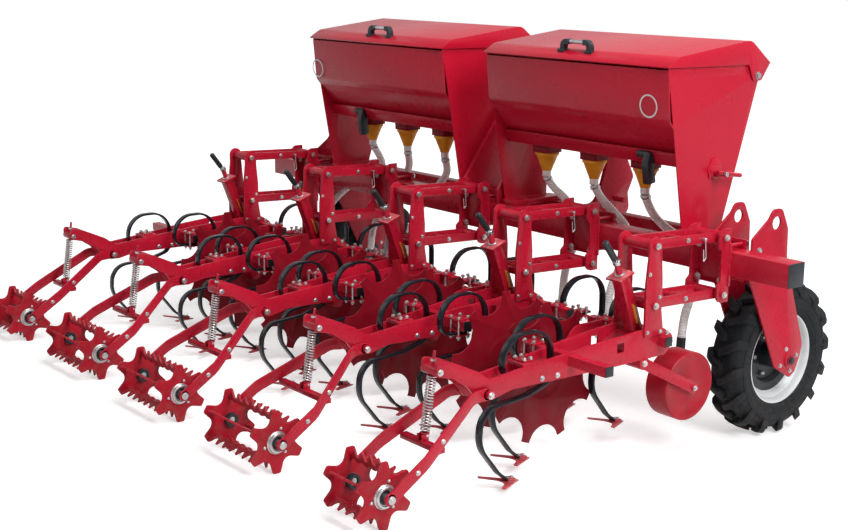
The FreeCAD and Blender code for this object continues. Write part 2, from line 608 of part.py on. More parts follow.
def roller_arm(kind):
    """Two bent bars with a tie, the spring that presses them down, and the roller's axle."""
    name = f"{kind}_arm"
    half = "roller_half" if kind == "mid" else "end_roller_half"
    root, thick = SIZE["arm_root_x"], SIZE["plate"]
    py, pz = SIZE["arm_pivot_y"], SIZE["arm_pivot_z"]
    by, bz = SIZE["arm_bend_y"], SIZE["arm_bend_z"]
    ry, rz = SIZE["roller_y"], SIZE["roller_z"]
    out = SIZE[half] + 3 * thick
    side = band([(py + 20, pz, 0), (py - 80, pz, 60), (by, bz, 60), (ry - 15, rz - 4, 0)], SIZE["arm_height"])
    plan = [(root, py + 60), (root, py - 40), (out, by + 20), (out, ry - 60), (out + thick, ry - 60),
            (out + thick, by + 20), (root + thick, py - 40), (root + thick, py + 60)]

    def bar(label):
        flat = plate(label + "_side", side, "0", "4 * roller_half")
        bend = plate(label + "_plan", plan, "0", "pivot_z", "XY")
        hole = rod(label + "_hole", ("0", "arm_pivot_y", "arm_pivot_z"), "pin_r + pin_fit", "4 * roller_half")
        return cut(label, common(label + "_blank", [flat, bend]), [hole])

    def stub(label):
        return rod(label, (f"{half} - 2.5 * plate", "roller_y", "roller_z"), "roller_pin_r", "7.5 * plate")

    frame = pair(name + "_bar", bar) + pair(name + "_stub", stub)
    reach = SIZE["arm_root_x"] + (out - root) * (py - 40 - SIZE["beam_rear"]) / (py - 60 - by)
    frame.append(box(name + "_tie", (str(-reach), "beam_rear - 55", "arm_bend_z + 25"),
                     (str(2 * reach), "60", "plate")))
    solid = join(name + "_frame", frame)
    seat, low, cup = spring_seat(), 62, SIZE["spring_r"] + 4
    spring = [along(name + "_rod", SIZE["spring_rod_r"], 0, seat + 2 + 3.6 * SIZE["pin_r"] + 60),
              along(name + "_coil", SIZE["spring_r"], low, seat - 6),
              along(name + "_cup_low", cup, low - 8, low), along(name + "_cup_high", cup, seat - 6, seat)]
    return join(name, [solid] + spring)


def star_roller(kind):
    """Two star plates joined by six flat bars, each plate with a hub that runs on its own stub."""
    name = f"{kind}_roller"
    half = "roller_half" if kind == "mid" else "end_roller_half"
    radius, lobes = SIZE["roller_r"], int(SIZE["roller_lobes"])
    outline = []
    for i in range(lobes):
        for offset, reach, bend in ((-10.5, radius / math.cos(math.radians(10.5)), 20),
                                    (10.5, radius / math.cos(math.radians(10.5)), 20),
                                    (180 / lobes, 0.56 * radius, 26)):
            angle = math.radians(360 * i / lobes + offset)
            outline.append((reach * math.sin(angle), reach * math.cos(angle), bend))

    def side(label):
        star = plate(label + "_star", outline, f"{half} - plate", "plate")
        ring = rod(label + "_ring", (half, "0", "0"), "45", "2 * plate")
        boss = rod(label + "_boss", (f"{half} - 3 * plate", "0", "0"), "2 * roller_pin_r", "2 * plate")
        return join(label, [star, ring, boss])

    pieces = pair(name + "_side", side)
    for i in range(lobes):
        bar = box(f"{name}_bar_{i}", (f"-{half}", "-4", "0.62 * roller_r"), (f"2 * {half}", "8", "0.34 * roller_r"))
        pieces.append(spin(group(f"{name}_bar_{i}_at", [bar]), 360 * i / lobes))
    bore = rod(name + "_bore", (f"-{half} - 30", "0", "0"), "roller_pin_r + pin_fit", f"2 * {half} + 60")
    return place(cut(name, join(name + "_frame", pieces), [bore]), ("0", "roller_y", "roller_z"))


def gauge_wheel():
    """A flat pressed wheel with a hub tube."""
    half, outer, pin = SIZE["gauge_width"] / 2, SIZE["gauge_r"], SIZE["gauge_pin_r"] + SIZE["pin_fit"]
    wall = 5
    corners = [(-half, pin), (half, pin), (half, pin + 20), (half - 16, pin + 24), (half - 16, outer - 30),
               (half, outer - 16), (half, outer - 3), (half - 3, outer), (3 - half, outer), (-half, outer - 3),
               (-half, outer - 16), (wall - half + 11, outer - 30), (wall - half + 11, pin + 24), (-half, pin + 20)]
    return turned("gauge_wheel", corners, ("0", "gauge_y", "gauge_z"))


def shield_disc(hand):
    """A toothed disc with a pressed dish and a hub."""
    name = f"disc_{'right' if hand > 0 else 'left'}"
    radius, thick = SIZE["disc_r"], SIZE["disc_thick"]
    pin = SIZE["disc_pin_r"] + SIZE["pin_fit"]
    corners = [(0, pin), (26, pin), (26, pin + 20), (thick + 8, pin + 24), (thick + 8, 95), (thick, 112),
               (thick, radius), (0, radius), (0, 112), (8, 95), (8, pin + 30), (0, pin + 30)]
    if hand < 0:
        corners = [(-c[0],) + tuple(c[1:]) for c in corners]
    blank = turned(name + "_blank", corners, ("0", "0", "0"))
    bites = []
    for i in range(int(SIZE["disc_teeth"])):
        bite = rod(f"{name}_gullet_{i}", ("-100", "0", "disc_r + 10"), "gullet_r", "200")
        bites.append(spin(group(f"{name}_gullet_{i}_at", [bite]), 360 * (i + 0.5) / SIZE["disc_teeth"]))
    disc = cut(name, blank, bites)
    return place(disc, ("disc_x" if hand > 0 else "-disc_x", "disc_y", "disc_z"))


# ---- drive wheels --------------------------------------------------------------------------------

def drive_tyre():
    """The tyre with its tread band; the lugs are surface detail."""
    half, outer, bead = SIZE["tyre_width"] / 2, SIZE["tyre_r"], SIZE["rim_r"]
    corners = [(-half + 22, bead), (-half + 22, bead + 12), (-half + 4, bead + 30), (-half, bead + 60),
               (-half + 5, outer - 32), (-half + 20, outer - 8), (-half + 48, outer), (half - 48, outer),
               (half - 20, outer - 8), (half - 5, outer - 32), (half, bead + 60), (half - 4, bead + 30),
               (half - 22, bead + 12), (half - 22, bead)]
    return turned("drive_tyre", corners, ("0", "wheel_y", "tyre_r"))


def drive_rim():
    """The rim, its dished disc and the hub on the axle."""
    half, bead = SIZE["tyre_width"] / 2 - 22, SIZE["rim_r"]
    pin = SIZE["wheel_pin_r"] + SIZE["pin_fit"]
    corners = [(-half, bead), (-half, bead - 16), (-half + 30, bead - 20), (0, bead - 20), (8, 120),
               (8, pin + 34), (-62, pin + 30), (-62, pin), (68, pin), (68, pin + 30), (16, pin + 34), (16, 120),
               (12, bead - 20), (half - 30, bead - 20), (half, bead - 16), (half, bead)]
    return turned("drive_rim", corners, ("0", "wheel_y", "tyre_r"))


def wheel_fork():
    """Two plates on the toolbar's front face that hold a drive wheel's axle between them."""
    y, z = SIZE["bar_y"], SIZE["bar_z"]
    wy, wz = SIZE["wheel_y"], SIZE["tyre_r"]
    face = y + SIZE["bar_side"] / 2
    outline = [(face, z - 80, 20), (face, z + 96, 20), (face + 104, z + 170, 40), (face + 132, z + 208, 30),
               (face + 188, z + 208, 30), (face + 218, z + 150, 20), (face + 234, z + 116, 6),
               (face + 239, z - 14, 60), (wy + 92, wz + 58, 30), (wy + 82, wz + 10, 12), (wy + 50, wz - 60, 14),
               (wy + 14, wz - 82, 14), (wy - 92, wz - 18, 14)]

    def side(label, offset):
        flat = plate(label, outline, f"{offset} - plate / 2", "plate")
        eye = rod(label + "_eye", ("-bar_length / 2", "bar_y + bar_side / 2 + 155", "bar_z + 148"),
                  "2.8 * pin_r", "bar_length")
        return cut(label + "_plate", flat, [eye])

    axle = rod("fork_axle", ("-fork_half - 2 * plate", "wheel_y", "tyre_r"), "wheel_pin_r",
               "2 * fork_half + 4 * plate")
    nuts = [rod("fork_nut_outer", ("fork_half + plate / 2", "wheel_y", "tyre_r"), "1.6 * wheel_pin_r", "plate"),
            rod("fork_nut_inner", ("-fork_half - 1.5 * plate", "wheel_y", "tyre_r"), "1.6 * wheel_pin_r", "plate")]
    return join("wheel_fork", [side("fork_outer", "fork_half"), side("fork_inner", "-fork_half"), axle] + nuts)


def wheels():
    """The drive wheels, ahead of the toolbar and in line with the end units."""
    for part, item in (("wheel_tyre", drive_tyre()), ("wheel_rim", drive_rim())):
        both_sides(part, place(group(part + "_at", [item]), ("wheel_x", "0", "0")))
    fork = place(group("wheel_fork_at", [wheel_fork()]), ("wheel_x", "0", "0"))
    node("wheel_forks", group("forks", [fork, mirror("wheel_fork_left", fork)]))


# ---- hoppers -------------------------------------------------------------------------------------

HOPPER_TOP = SIZE["hinge_z"] + 49
HOPPER_SIDE = ((SIZE["bar_y"] - 152, HOPPER_TOP), (SIZE["bar_y"] - 21, SIZE["bar_z"] + 73),
               (SIZE["bar_y"] + 228, SIZE["bar_z"] + 73), (SIZE["hinge_y"] + 32, HOPPER_TOP - 28))
LID_TOP = ((SIZE["hinge_y"] - 578, SIZE["hinge_z"] + 57), (SIZE["hinge_y"] - 510, SIZE["hinge_z"] + 98, 60),
           (SIZE["hinge_y"] - 54, SIZE["hinge_z"] + 152, 60), (SIZE["hinge_y"] + 80, SIZE["hinge_z"] + 52))
WIDE = "(hopper_outer - hopper_inner)"


def hopper():
    """Two side panels that are also the legs, the folded bin between them, feet and lid hinge pin."""
    t = SIZE["sheet"]
    low = SIZE["trough_z"] + t / 2
    sides = [plate("hopper_inner_side", HOPPER_SIDE, "hopper_inner", "sheet"),
             plate("hopper_outer_side", HOPPER_SIDE, "hopper_outer - sheet", "sheet")]
    y = SIZE["bar_y"]
    skin = band([(y - 150, HOPPER_TOP - 3), (y - 130, HOPPER_TOP - 216, 40), (y + 10, low, 30), (y + 177, low, 30),
                 (SIZE["hinge_y"] + 28, HOPPER_TOP - 36)], t)
    bin_plate = plate("hopper_bin", skin, "hopper_inner", WIDE)
    feet = []
    for label, start in (("inner", "hopper_inner"), ("outer", "hopper_outer - foot_width")):
        feet.append(box(f"hopper_foot_{label}", (start, "bar_y - bar_side / 2 + 15", "bar_z + bar_side / 2"),
                        ("foot_width", "front_bar_y + front_bar_side / 2 - bar_y + bar_side / 2 - 15", "foot_height")))
    pin = rod("hopper_hinge_pin", ("hopper_inner - 2 * plate", "hinge_y", "hinge_z"), "hinge_pin_r", WIDE + " + 4 * plate")
    return join("hopper", sides + [bin_plate, pin] + feet)


def lid():
    """The folded lid, its two end panels on the hinge pin, and its handle."""
    t = SIZE["sheet"]
    hy, hz = SIZE["hinge_y"], SIZE["hinge_z"]
    skin = plate("lid_skin", band(LID_TOP, t),
                 "hopper_inner - lid_gap - sheet", WIDE + " + 2 * (lid_gap + sheet)")
    end = list(LID_TOP) + [(hy + 26, hz - 22, 20), (hy - 26, hz - 22, 20), (hy - 60, hz + 50, 10)]
    ends = []
    for label, start in (("inner", "hopper_inner - lid_gap - sheet"), ("outer", "hopper_outer + lid_gap")):
        panel = plate(f"lid_{label}_panel", end, start, "sheet")
        bore = rod(f"lid_{label}_bore", ("0", "hinge_y", "hinge_z"), "hinge_pin_r + pin_fit", "bar_length")
        ends.append(cut(f"lid_{label}_end", panel, [bore]))
    grip = rod("lid_grip", ("(hopper_inner + hopper_outer) / 2 - 250", "hinge_y - 540", "hinge_z + 120"), "8", "500")
    brackets = [box(f"lid_bracket_{i}", (f"(hopper_inner + hopper_outer) / 2 + {x}", "hinge_y - 548", "hinge_z + 78"), ("8", "20", "55"))
                for i, x in enumerate((-235, 227))]
    return join("lid", [skin, grip] + ends + brackets)


def metering():
    """Three metering boxes under a hopper trough, each with its funnel."""
    boxes = []
    for i in range(3):
        x = f"outlet_first + {i} * outlet_pitch"
        body = box(f"meter_{i}_box", (f"{x} - 60", "outlet_y - 58", "trough_z - 75"), ("120", "116", "75"))
        funnel = DOC.addObject("Part::Cone", f"meter_{i}_funnel")
        funnel.Radius1 = 24
        funnel.Radius2 = 46
        funnel.setExpression("Height", bound("trough_z - 75 - outlet_z"))
        place(funnel, (x, "outlet_y", "outlet_z"))
        boxes.append(join(f"meter_{i}", [body, funnel]))
    return group("metering", boxes)


# corners of each hose on the right side: x, then forward of and above the toolbar's axis
HOSES = {"outer": ((1015, 49, 213), (1000, 99, 128), (1050, 141, 53), (1210, 141, 3), (1320, 69, -87),
                   (1360, -11, -182), (1360, -61, -282)),
         "middle": ((700, 49, 213), (712, 74, 148), (780, 114, 78), (865, 134, -2), (903, 64, -102),
                    (905, -11, -192), (905, -46, -282)),
         "inner": ((385, 49, 213), (392, 74, 158), (450, 117, 100), (535, 121, 23), (590, 54, -82),
                   (597, -11, -182), (597, -31, -282))}


def bent(spots):
    """The edges of a path whose corners are rounded as far as its straight runs allow."""
    edges = []
    last = spots[0]
    for before, corner, after in zip(spots, spots[1:], spots[2:]):
        back, ahead = (before - corner).normalize(), (after - corner).normalize()
        reach = 0.45 * min((before - corner).Length, (after - corner).Length)
        half = back.getAngle(ahead) / 2
        radius = reach * math.tan(half)
        start, end = corner + back * reach, corner + ahead * reach
        middle = corner + (back + ahead).normalize() * (radius / math.sin(half) - radius)
        edges += [Part.LineSegment(last, start).toShape(), Part.Arc(start, middle, end).toShape()]
        last = end
    return edges + [Part.LineSegment(last, spots[-1]).toShape()]


def hose(name, spots):
    """A hose from a funnel's mouth down past the toolbar to the ground side of a unit."""
    route = [Vector(x, SIZE["bar_y"] + ahead, SIZE["bar_z"] + above) for x, ahead, above in spots]
    route.append(Vector(route[-1].x, route[-1].y - 5, SIZE["hose_end_z"]))
    lean = route[1] - route[0]
    route[0].z -= SIZE["hose_r"] * math.hypot(lean.x, lean.y) / lean.Length + 1.5
    path = DOC.addObject("Part::Feature", name + "_path")
    path.Shape = Part.Wire(bent(route))
    ring = DOC.addObject("Part::Circle", name + "_ring")
    ring.setExpression("Radius", bound("hose_r"))
    ring.Placement = FreeCAD.Placement(route[0], Rotation(Vector(0, 0, 1), route[1] - route[0]))
    tube = DOC.addObject("Part::Sweep", name)
    tube.Sections = [ring]
    tube.Spine = (path, [f"Edge{i + 1}" for i in range(len(path.Shape.Edges))])
    tube.Solid = True
    return tube


def hoses():
    """Three hoses under each hopper."""
    return group("hoses", [hose(f"hose_{label}", spots) for label, spots in HOSES.items()])


# ---- headstock -----------------------------------------------------------------------------------

def headstock():
    """Lower hitch plates with their pins, and the mast that takes the top link."""
    y, half = SIZE["bar_y"], SIZE["bar_side"] / 2
    top = SIZE["bar_z"] + half
    py, pz = SIZE["hitch_pin_y"], SIZE["hitch_pin_z"]
    ty, tz = SIZE["top_pin_y"], SIZE["top_pin_z"]
    front = SIZE["front_bar_y"] + SIZE["front_bar_side"] / 2
    low = [(y + half, top - 2 * half), (y + half, top), (py - 136, top, 60), (py - 97, pz + 64, 30),
           (py - 41, pz + 238, 30), (py + 59, pz + 238, 40), (py + 133, pz + 100, 30), (py + 94, pz + 20, 20),
           (py + 109, pz - 72, 40), (py + 24, top - 2 * half, 30)]
    mast = [(y - half, top), (y - half, top + 60, 20), (ty - 110, tz + 40, 30), (ty - 30, tz + 40, 30), (ty - 30, tz - 60, 30),
            (front, top + 60, 60), (front, top)]
    ear = [(ty - 60, tz + 40), (ty + 45, tz + 45, 44), (ty + 45, tz - 45, 44), (ty - 60, tz - 60)]

    def hitch(label):
        flat = plate(label + "_flat", low, "hitch_x", "hitch_plate")
        window = box(label + "_window", ("0", "front_bar_y - front_bar_side / 2", "bar_z + bar_side / 2 - front_bar_side"),
                     ("bar_length", "front_bar_side", "front_bar_side"))
        pin = rod(label + "_pin", ("hitch_x", "hitch_pin_y", "hitch_pin_z"), "hitch_pin_r",
                  "hitch_plate + hitch_pin_length")
        foot = box(label + "_foot", ("hitch_x - 30", "bar_y + bar_side / 2", "bar_z - bar_side / 2"),
                   ("hitch_plate + 60", "plate", "bar_side"))
        return join(label, [cut(label + "_plate", flat, [window]), pin, foot])

    ears = pair("mast_ear", lambda label: plate(label, ear, "mast_ear_x", "hitch_plate"))
    sides = pair("mast_side", lambda label: plate(label, mast, "mast_x", "hitch_plate"))
    bridge = box("mast_bridge", ("-mast_x - hitch_plate / 2", "top_pin_y - 110", "top_pin_z - 40"),
                 ("2 * mast_x + hitch_plate", "60", "70"))
    bore = rod("mast_bore", ("-mast_x / 2", "top_pin_y", "top_pin_z"), "top_pin_r", "mast_x")
    return group("headstock", pair("hitch", hitch) + [cut("mast", join("mast_frame", ears + sides + [bridge]), [bore])])


def front_bar():
    """The tube ahead of the toolbar that carries the hoppers' front feet."""
    low = ("-hopper_outer", "front_bar_y - front_bar_side / 2", "bar_z + bar_side / 2 - front_bar_side")
    outer = box("front_bar_outer", low, ("2 * hopper_outer", "front_bar_side", "front_bar_side"))
    inner = box("front_bar_inner", (low[0], low[1] + " + bar_wall", low[2] + " + bar_wall"),
                ("2 * hopper_outer", "front_bar_side - 2 * bar_wall", "front_bar_side - 2 * bar_wall"))
    return cut("front_bar", outer, [inner])


# ---- assembly ------------------------------------------------------------------------------------

def placed(name, item, x, y="0", z="0"):
    """A copy of a unit's sub-part on the toolbar."""
    return node(name, place(group(name + "_at", [item]), (x, y, z)))


def units():
    """Five units: three alike, and an end unit on each side that mirrors the other."""
    bracket = unit_bracket()
    places = [f"{i - 2} * unit_pitch" for i in range(5)]
    brackets = [place(group(f"bracket_{i + 1}", [bracket]), (x, "0", "0")) for i, x in enumerate(places)]
    node("unit_brackets", group("brackets", brackets))
    lower = link("lower_link", "link_bar_height")
    upper = link("upper_link", "link_bar_height")
    wheel = gauge_wheel()
    right_disc, left_disc = shield_disc(1), shield_disc(-1)
    made = {}
    for kind in ("mid", "end"):
        made[kind] = {"beam": beam(kind), "tines": tines(kind), "roller_arm": roller_arm(kind),
                      "star_roller": star_roller(kind)}
    made["first"] = {part: mirror("first_" + part, item) for part, item in made["end"].items()}
    for i, x in enumerate(places):
        number = i + 1
        kind = {0: "first", 4: "end"}.get(i, "mid")
        placed(f"lower_link_{number}", lower, x, "pivot_y", "pivot_z - pivot_spread")
        placed(f"upper_link_{number}", upper, x, "pivot_y", "pivot_z")
        for part, item in made[kind].items():
            placed(f"{part}_{number}", item, x)
        placed(f"gauge_wheel_{number}", wheel, x)
        if i < 4:
            placed(f"shield_disc_{number}_right", right_disc, x)
        if i > 0:
            placed(f"shield_disc_{number}_left", left_disc, x)


def both_sides(name, item):
    """The same sub-part on the right and, mirrored, on the left."""
    node(name + "_right", item)
    node(name + "_left", mirror(name + "_left_side", item))


toolbar()
node("front_bar", front_bar())
node("headstock", headstock())
units()
wheels()
both_sides("hopper", hopper())
both_sides("hopper_lid", lid())
outlets = metering()
node("metering", group("outlets", [outlets, mirror("outlets_left", outlets)]))
both_sides("hoses", hoses())
DOC.recompute()

for item in DOC.Objects:
    if "Invalid" in item.State or "Error" in item.State:
        raise RuntimeError(f"{item.Label} failed: {item.State}")
os.makedirs("parts", exist_ok=True)
for name, item in sorted(NODES.items()):
    shape = item.Shape
    if shape.isNull() or not shape.isValid() or not shape.Solids:
        raise RuntimeError(f"{name} has no valid solid")
    shape.exportStep(f"parts/{name}.step")
    print(f"{name}: {len(shape.Solids)} solids, {shape.Volume / 1e6:.2f} litres")
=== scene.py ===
"""The visible inter-row cultivator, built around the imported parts.

Everything is drawn level, in metres: X across the machine, Y forward, Z up. The parked machine leans
back on its wheels and rollers, so each finished mesh is set on the ground by STANCE.
"""
from __future__ import annotations

import logging
import math
from dataclasses import dataclass, field
from enum import Enum

import bmesh
import bpy
from mathutils import Matrix, Vector


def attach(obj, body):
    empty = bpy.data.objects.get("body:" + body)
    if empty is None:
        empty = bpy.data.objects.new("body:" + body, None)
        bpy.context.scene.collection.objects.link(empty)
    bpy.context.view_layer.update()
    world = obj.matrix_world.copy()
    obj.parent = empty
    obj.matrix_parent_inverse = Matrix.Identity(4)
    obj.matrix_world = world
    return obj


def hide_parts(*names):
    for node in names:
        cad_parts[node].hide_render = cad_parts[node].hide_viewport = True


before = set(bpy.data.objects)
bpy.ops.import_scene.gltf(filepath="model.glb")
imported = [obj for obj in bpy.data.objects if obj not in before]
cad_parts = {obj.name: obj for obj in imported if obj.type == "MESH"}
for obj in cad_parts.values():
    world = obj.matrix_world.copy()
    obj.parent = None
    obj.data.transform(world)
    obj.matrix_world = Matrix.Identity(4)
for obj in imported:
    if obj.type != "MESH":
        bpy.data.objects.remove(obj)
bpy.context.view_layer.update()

LOG = logging.getLogger("cultivator")
Spot = tuple[float, float, float]
Flat = tuple[float, float]
Socket = bpy.types.NodeSocket
Tree = bpy.types.NodeTree

ROOT = "toolbar_frame"
AXLE = Vector((0.0, 0.974, 0.345))
STANCE = (Matrix.Translation(AXLE + Vector((0.0, -0.003168, 0.0)))
          @ Matrix.Rotation(math.radians(3.2883), 4, "X") @ Matrix.Translation(-AXLE))
# A plate is drawn with its thickness along X; these lay it flat, or across Y.
FLAT = Matrix(((0, 1, 0, 0), (0, 0, 1, 0), (1, 0, 0, 0), (0, 0, 0, 1)))
CROSS = Matrix(((0, 1, 0, 0), (1, 0, 0, 0), (0, 0, 1, 0), (0, 0, 0, 1)))
# A turned body is drawn about Z; this lays its axis along X.
SIDEWAYS = Matrix.Rotation(math.pi / 2, 4, "Y")
FULL_TURN = 2 * math.pi
BOTH = (-1, 1)
WHITE = (1.0, 1.0, 1.0, 1.0)
# Vertices closer than MERGE become one; edges sharper than SHARP_ANGLE degrees stay sharp.
MERGE = 2e-6
SHARP_ANGLE = 34


# ---- nodes and finishes --------------------------------------------------------------------------

@dataclass
class Nodes:
    """A node tree under construction, with short ways to add and join nodes."""

    tree: Tree

    def add(self, kind: str, **values: object) -> bpy.types.Node:
        """Add a node.

        Args:
            kind: its type name, which goes without the prefix for a shader node.
            values: its properties, and sockets or values for its inputs.

        Returns:
            The new node.
        """
        node = self.tree.nodes.new(kind if "Node" in kind else "ShaderNode" + kind)
        for key, value in values.items():
            if hasattr(node, key):
                setattr(node, key, value)
            else:
                self.feed(node.inputs[key.replace("_", " ")], value)
        return node

    def feed(self, entry: Socket, value: object) -> None:
        """Link an input to a socket, or set it to a value.

        Args:
            entry: the input.
            value: the socket that feeds it, or its value.
        """
        if isinstance(value, Socket):
            self.tree.links.new(value, entry)
        else:
            entry.default_value = value

    def run(self, kind: str, *values: object, **settings: object) -> Socket:
        """Add a node and feed its inputs in order.

        Args:
            kind: its type name.
            values: sockets or values for its first inputs.
            settings: its properties.

        Returns:
            Its first output.
        """
        node = self.add(kind, **settings)
        for entry, value in zip(node.inputs, values):
            self.feed(entry, value)
        return node.outputs[0]

    def math(self, operation: str, *values: Socket | float) -> Socket:
        """The result of one operation on sockets and numbers."""
        return self.run("Math", *values, operation=operation)

    def noise(self, spot: Socket, scale: float, detail: float) -> Socket:
        """A noise factor with so many patches to a metre and so many finer layers."""
        return self.add("TexNoise", Vector=spot, Scale=scale, Detail=detail).outputs["Fac"]

    def span(self, value: Socket, low: float, high: float, to_low: float, to_high: float) -> Socket:
        """A value moved from the range low to high to another range, and clamped there."""
        return self.run("MapRange", value, low, high, to_low, to_high)

    def blend(self, share: Socket, under: Socket | Spot, over: Spot) -> Socket:
        """One colour laid over another.

        Args:
            share: how much of the upper colour shows.
            under: the lower colour, or its socket.
            over: the upper colour.

        Returns:
            The blended colour's socket.
        """
        node = self.add("Mix", data_type="RGBA")
        for index, value in ((0, share), (6, under), (7, over)):
            self.feed(node.inputs[index], (*value, 1.0) if isinstance(value, tuple) else value)
        return node.outputs[2]


@dataclass(frozen=True)
class Finish:
    """A surface finish: colour patches, edges in another colour that is partly rubbed wear and partly a
    painted sheen, soil near the ground, roughness and grain.
    """

    name: str
    base: Spot
    shade: Spot
    # The colour at corners: partly rubbed wear, partly a painted sheen along the edges.
    bare_and_sheen: Spot
    rough: Flat = (0.28, 0.42)
    metallic: float = 0.0
    shine: float = 0.5
    coat: float = 0.0
    patch: float = 5.0
    # How strongly corners take that colour, as rubbed wear and as painted sheen.
    wear_and_sheen: float = 0.5
    soil: float = 0.25
    grain: float = 700.0
    depth: float = 0.0002
    slot: str = "red_paint"
    dust: Spot = (0.23, 0.165, 0.115)

    def material(self) -> bpy.types.Material:
        """The finish's material, made once and marked with its slot.

        Returns:
            The material.
        """
        name = f"{self.name}_look"
        found = bpy.data.materials.get(name)
        if found is not None:
            return found
        made = bpy.data.materials.new(name)
        made["slot"] = self.slot
        made.use_nodes = True
        made.node_tree.nodes.clear()
        graph = Nodes(made.node_tree)
        spot = graph.add("TexCoord").outputs["Object"]
        patches = graph.span(graph.noise(spot, self.patch, 6.0), 0.35, 0.7, 0.0, 1.0)
        colour = graph.blend(patches, self.base, self.shade)
        # Corners take the edge colour: partly rubbed wear, partly a painted sheen along the edges.
        colour = graph.blend(self.edges(graph, spot), colour, self.bare_and_sheen)
        height = graph.add("SeparateXYZ", Vector=spot).outputs["Z"]
        low = graph.span(height, 0.02, 0.5, self.soil, self.soil * 0.12)
        dirt = graph.span(graph.noise(spot, self.patch * 4.0, 8.0), 0.42, 0.68, 0.0, 1.0)
        colour = graph.blend(graph.math("MULTIPLY", low, dirt), colour, self.dust)
        smear = graph.span(graph.noise(spot, self.patch * 7.0, 5.0), 0.3, 0.7, *self.rough)
        grain = graph.noise(spot, self.grain, 3.0)
        bump = graph.add("Bump", Strength=0.35, Distance=self.depth, Height=grain)
        shader = graph.add("BsdfPrincipled", Metallic=self.metallic, Specular_IOR_Level=self.shine,
                           Coat_Weight=self.coat, Coat_Roughness=0.12, Base_Color=colour, Roughness=smear,
                           Normal=bump.outputs[0])
        graph.add("OutputMaterial", Surface=shader.outputs[0])
        return made

    def edges(self, graph: Nodes, spot: Socket) -> Socket:
        """Where corners take the edge colour: partly rubbed wear, partly a painted sheen along the edges.

        Args:
            graph: the material's graph.
            spot: the coordinates that break up the worn and sheen edges.

        Returns:
            The mask's socket.
        """
        soft = graph.add("Bevel", Radius=0.004, samples=4).outputs[0]
        flat = graph.add("NewGeometry").outputs["Normal"]
        dot = graph.add("VectorMath", operation="DOT_PRODUCT")
        graph.feed(dot.inputs[0], soft)
        graph.feed(dot.inputs[1], flat)
        edge = graph.span(dot.outputs["Value"], 0.98, 0.72, 0.0, self.wear_and_sheen)
        return graph.math("MULTIPLY", edge, graph.span(graph.noise(spot, 55.0, 6.0), 0.46, 0.62, 0.0, 1.0))


RED = Finish("red_enamel", (0.49, 0.0075, 0.030), (0.39, 0.006, 0.023), (0.72, 0.18, 0.22),
             rough=(0.25, 0.34), shine=0.26, coat=0.06, soil=0.06, grain=420.0, depth=0.00006)
HOPPER_RED = Finish("hopper_enamel", (0.53, 0.007, 0.030), (0.49, 0.006, 0.027), (0.72, 0.18, 0.22),
                    rough=(0.26, 0.31), shine=0.28, coat=0.1, patch=1.6, wear_and_sheen=0.35, soil=0.0, grain=260.0,
                    depth=0.00004)
DISC_RED = Finish("disc_enamel", (0.25, 0.004, 0.014), (0.17, 0.003, 0.010), (0.55, 0.12, 0.14),
                  rough=(0.30, 0.42), shine=0.14, patch=5.0, wear_and_sheen=0.6, soil=0.10)
ROLLER_RED = Finish("roller_enamel", (0.42, 0.007, 0.023), (0.31, 0.006, 0.017), (0.68, 0.22, 0.25),
                    rough=(0.28, 0.42), shine=0.18, coat=0.02, patch=8.0, wear_and_sheen=0.9, soil=0.16)
# The shares' light pink is partly worn paint and partly painted sheen that stands for glare on their faces.
SHARE_SHEEN_RED = Finish("share_worn_and_sheen", (0.60, 0.08, 0.10), (0.40, 0.045, 0.055), (0.6, 0.45, 0.43),
                   rough=(0.32, 0.5), shine=0.35, patch=22.0, wear_and_sheen=0.9, soil=0.15)
SPRING_BLACK = Finish("tine_black", (0.005, 0.007, 0.011), (0.010, 0.014, 0.021), (0.04, 0.05, 0.07),
                      rough=(0.13, 0.22), shine=0.14, coat=0.3, patch=6.0, wear_and_sheen=0.25, soil=0.02,
                      slot="spring_steel")
ZINC = Finish("zinc_plate", (0.62, 0.62, 0.61), (0.40, 0.40, 0.41), (0.7, 0.69, 0.66), rough=(0.24, 0.40),
              metallic=0.9, patch=40.0, wear_and_sheen=0.2, soil=0.1, slot="spring_steel")
STEEL = Finish("bright_steel", (0.55, 0.56, 0.57), (0.36, 0.37, 0.39), (0.7, 0.7, 0.7), rough=(0.2, 0.36),
               metallic=1.0, patch=25.0, wear_and_sheen=0.1, soil=0.1, slot="spring_steel")
RUBBER = Finish("tyre_rubber", (0.008, 0.010, 0.012), (0.015, 0.017, 0.020), (0.036, 0.036, 0.038),
                rough=(0.50, 0.70), shine=0.18, patch=12.0, wear_and_sheen=0.4, soil=0.10, grain=900.0, depth=0.0006,
                slot="tyre_rubber")
RIM_WHITE = Finish("rim_white", (0.74, 0.76, 0.77), (0.64, 0.66, 0.68), (0.45, 0.43, 0.42),
                   rough=(0.26, 0.4), coat=0.2, patch=7.0, wear_and_sheen=0.3, soil=0.08, slot="white_rim")
PLASTIC = Finish("black_plastic", (0.011, 0.014, 0.018), (0.020, 0.024, 0.030), (0.07, 0.07, 0.075),
                 rough=(0.32, 0.46), shine=0.4, patch=18.0, wear_and_sheen=0.3, soil=0.03, grain=1300.0,
                 slot="black_plastic")
FUNNEL_YELLOW = Finish("funnel_yellow", (0.84, 0.37, 0.018), (0.72, 0.28, 0.012), (0.9, 0.6, 0.2),
                       rough=(0.32, 0.5), shine=0.3, patch=16.0, wear_and_sheen=0.3, soil=0.04, slot="")
SCALE_YELLOW = Finish("scale_yellow", (0.84, 0.46, 0.02), (0.70, 0.34, 0.012), (0.3, 0.2, 0.1),
                      rough=(0.35, 0.5), shine=0.3, patch=30.0, wear_and_sheen=0.5, soil=0.1, slot="")
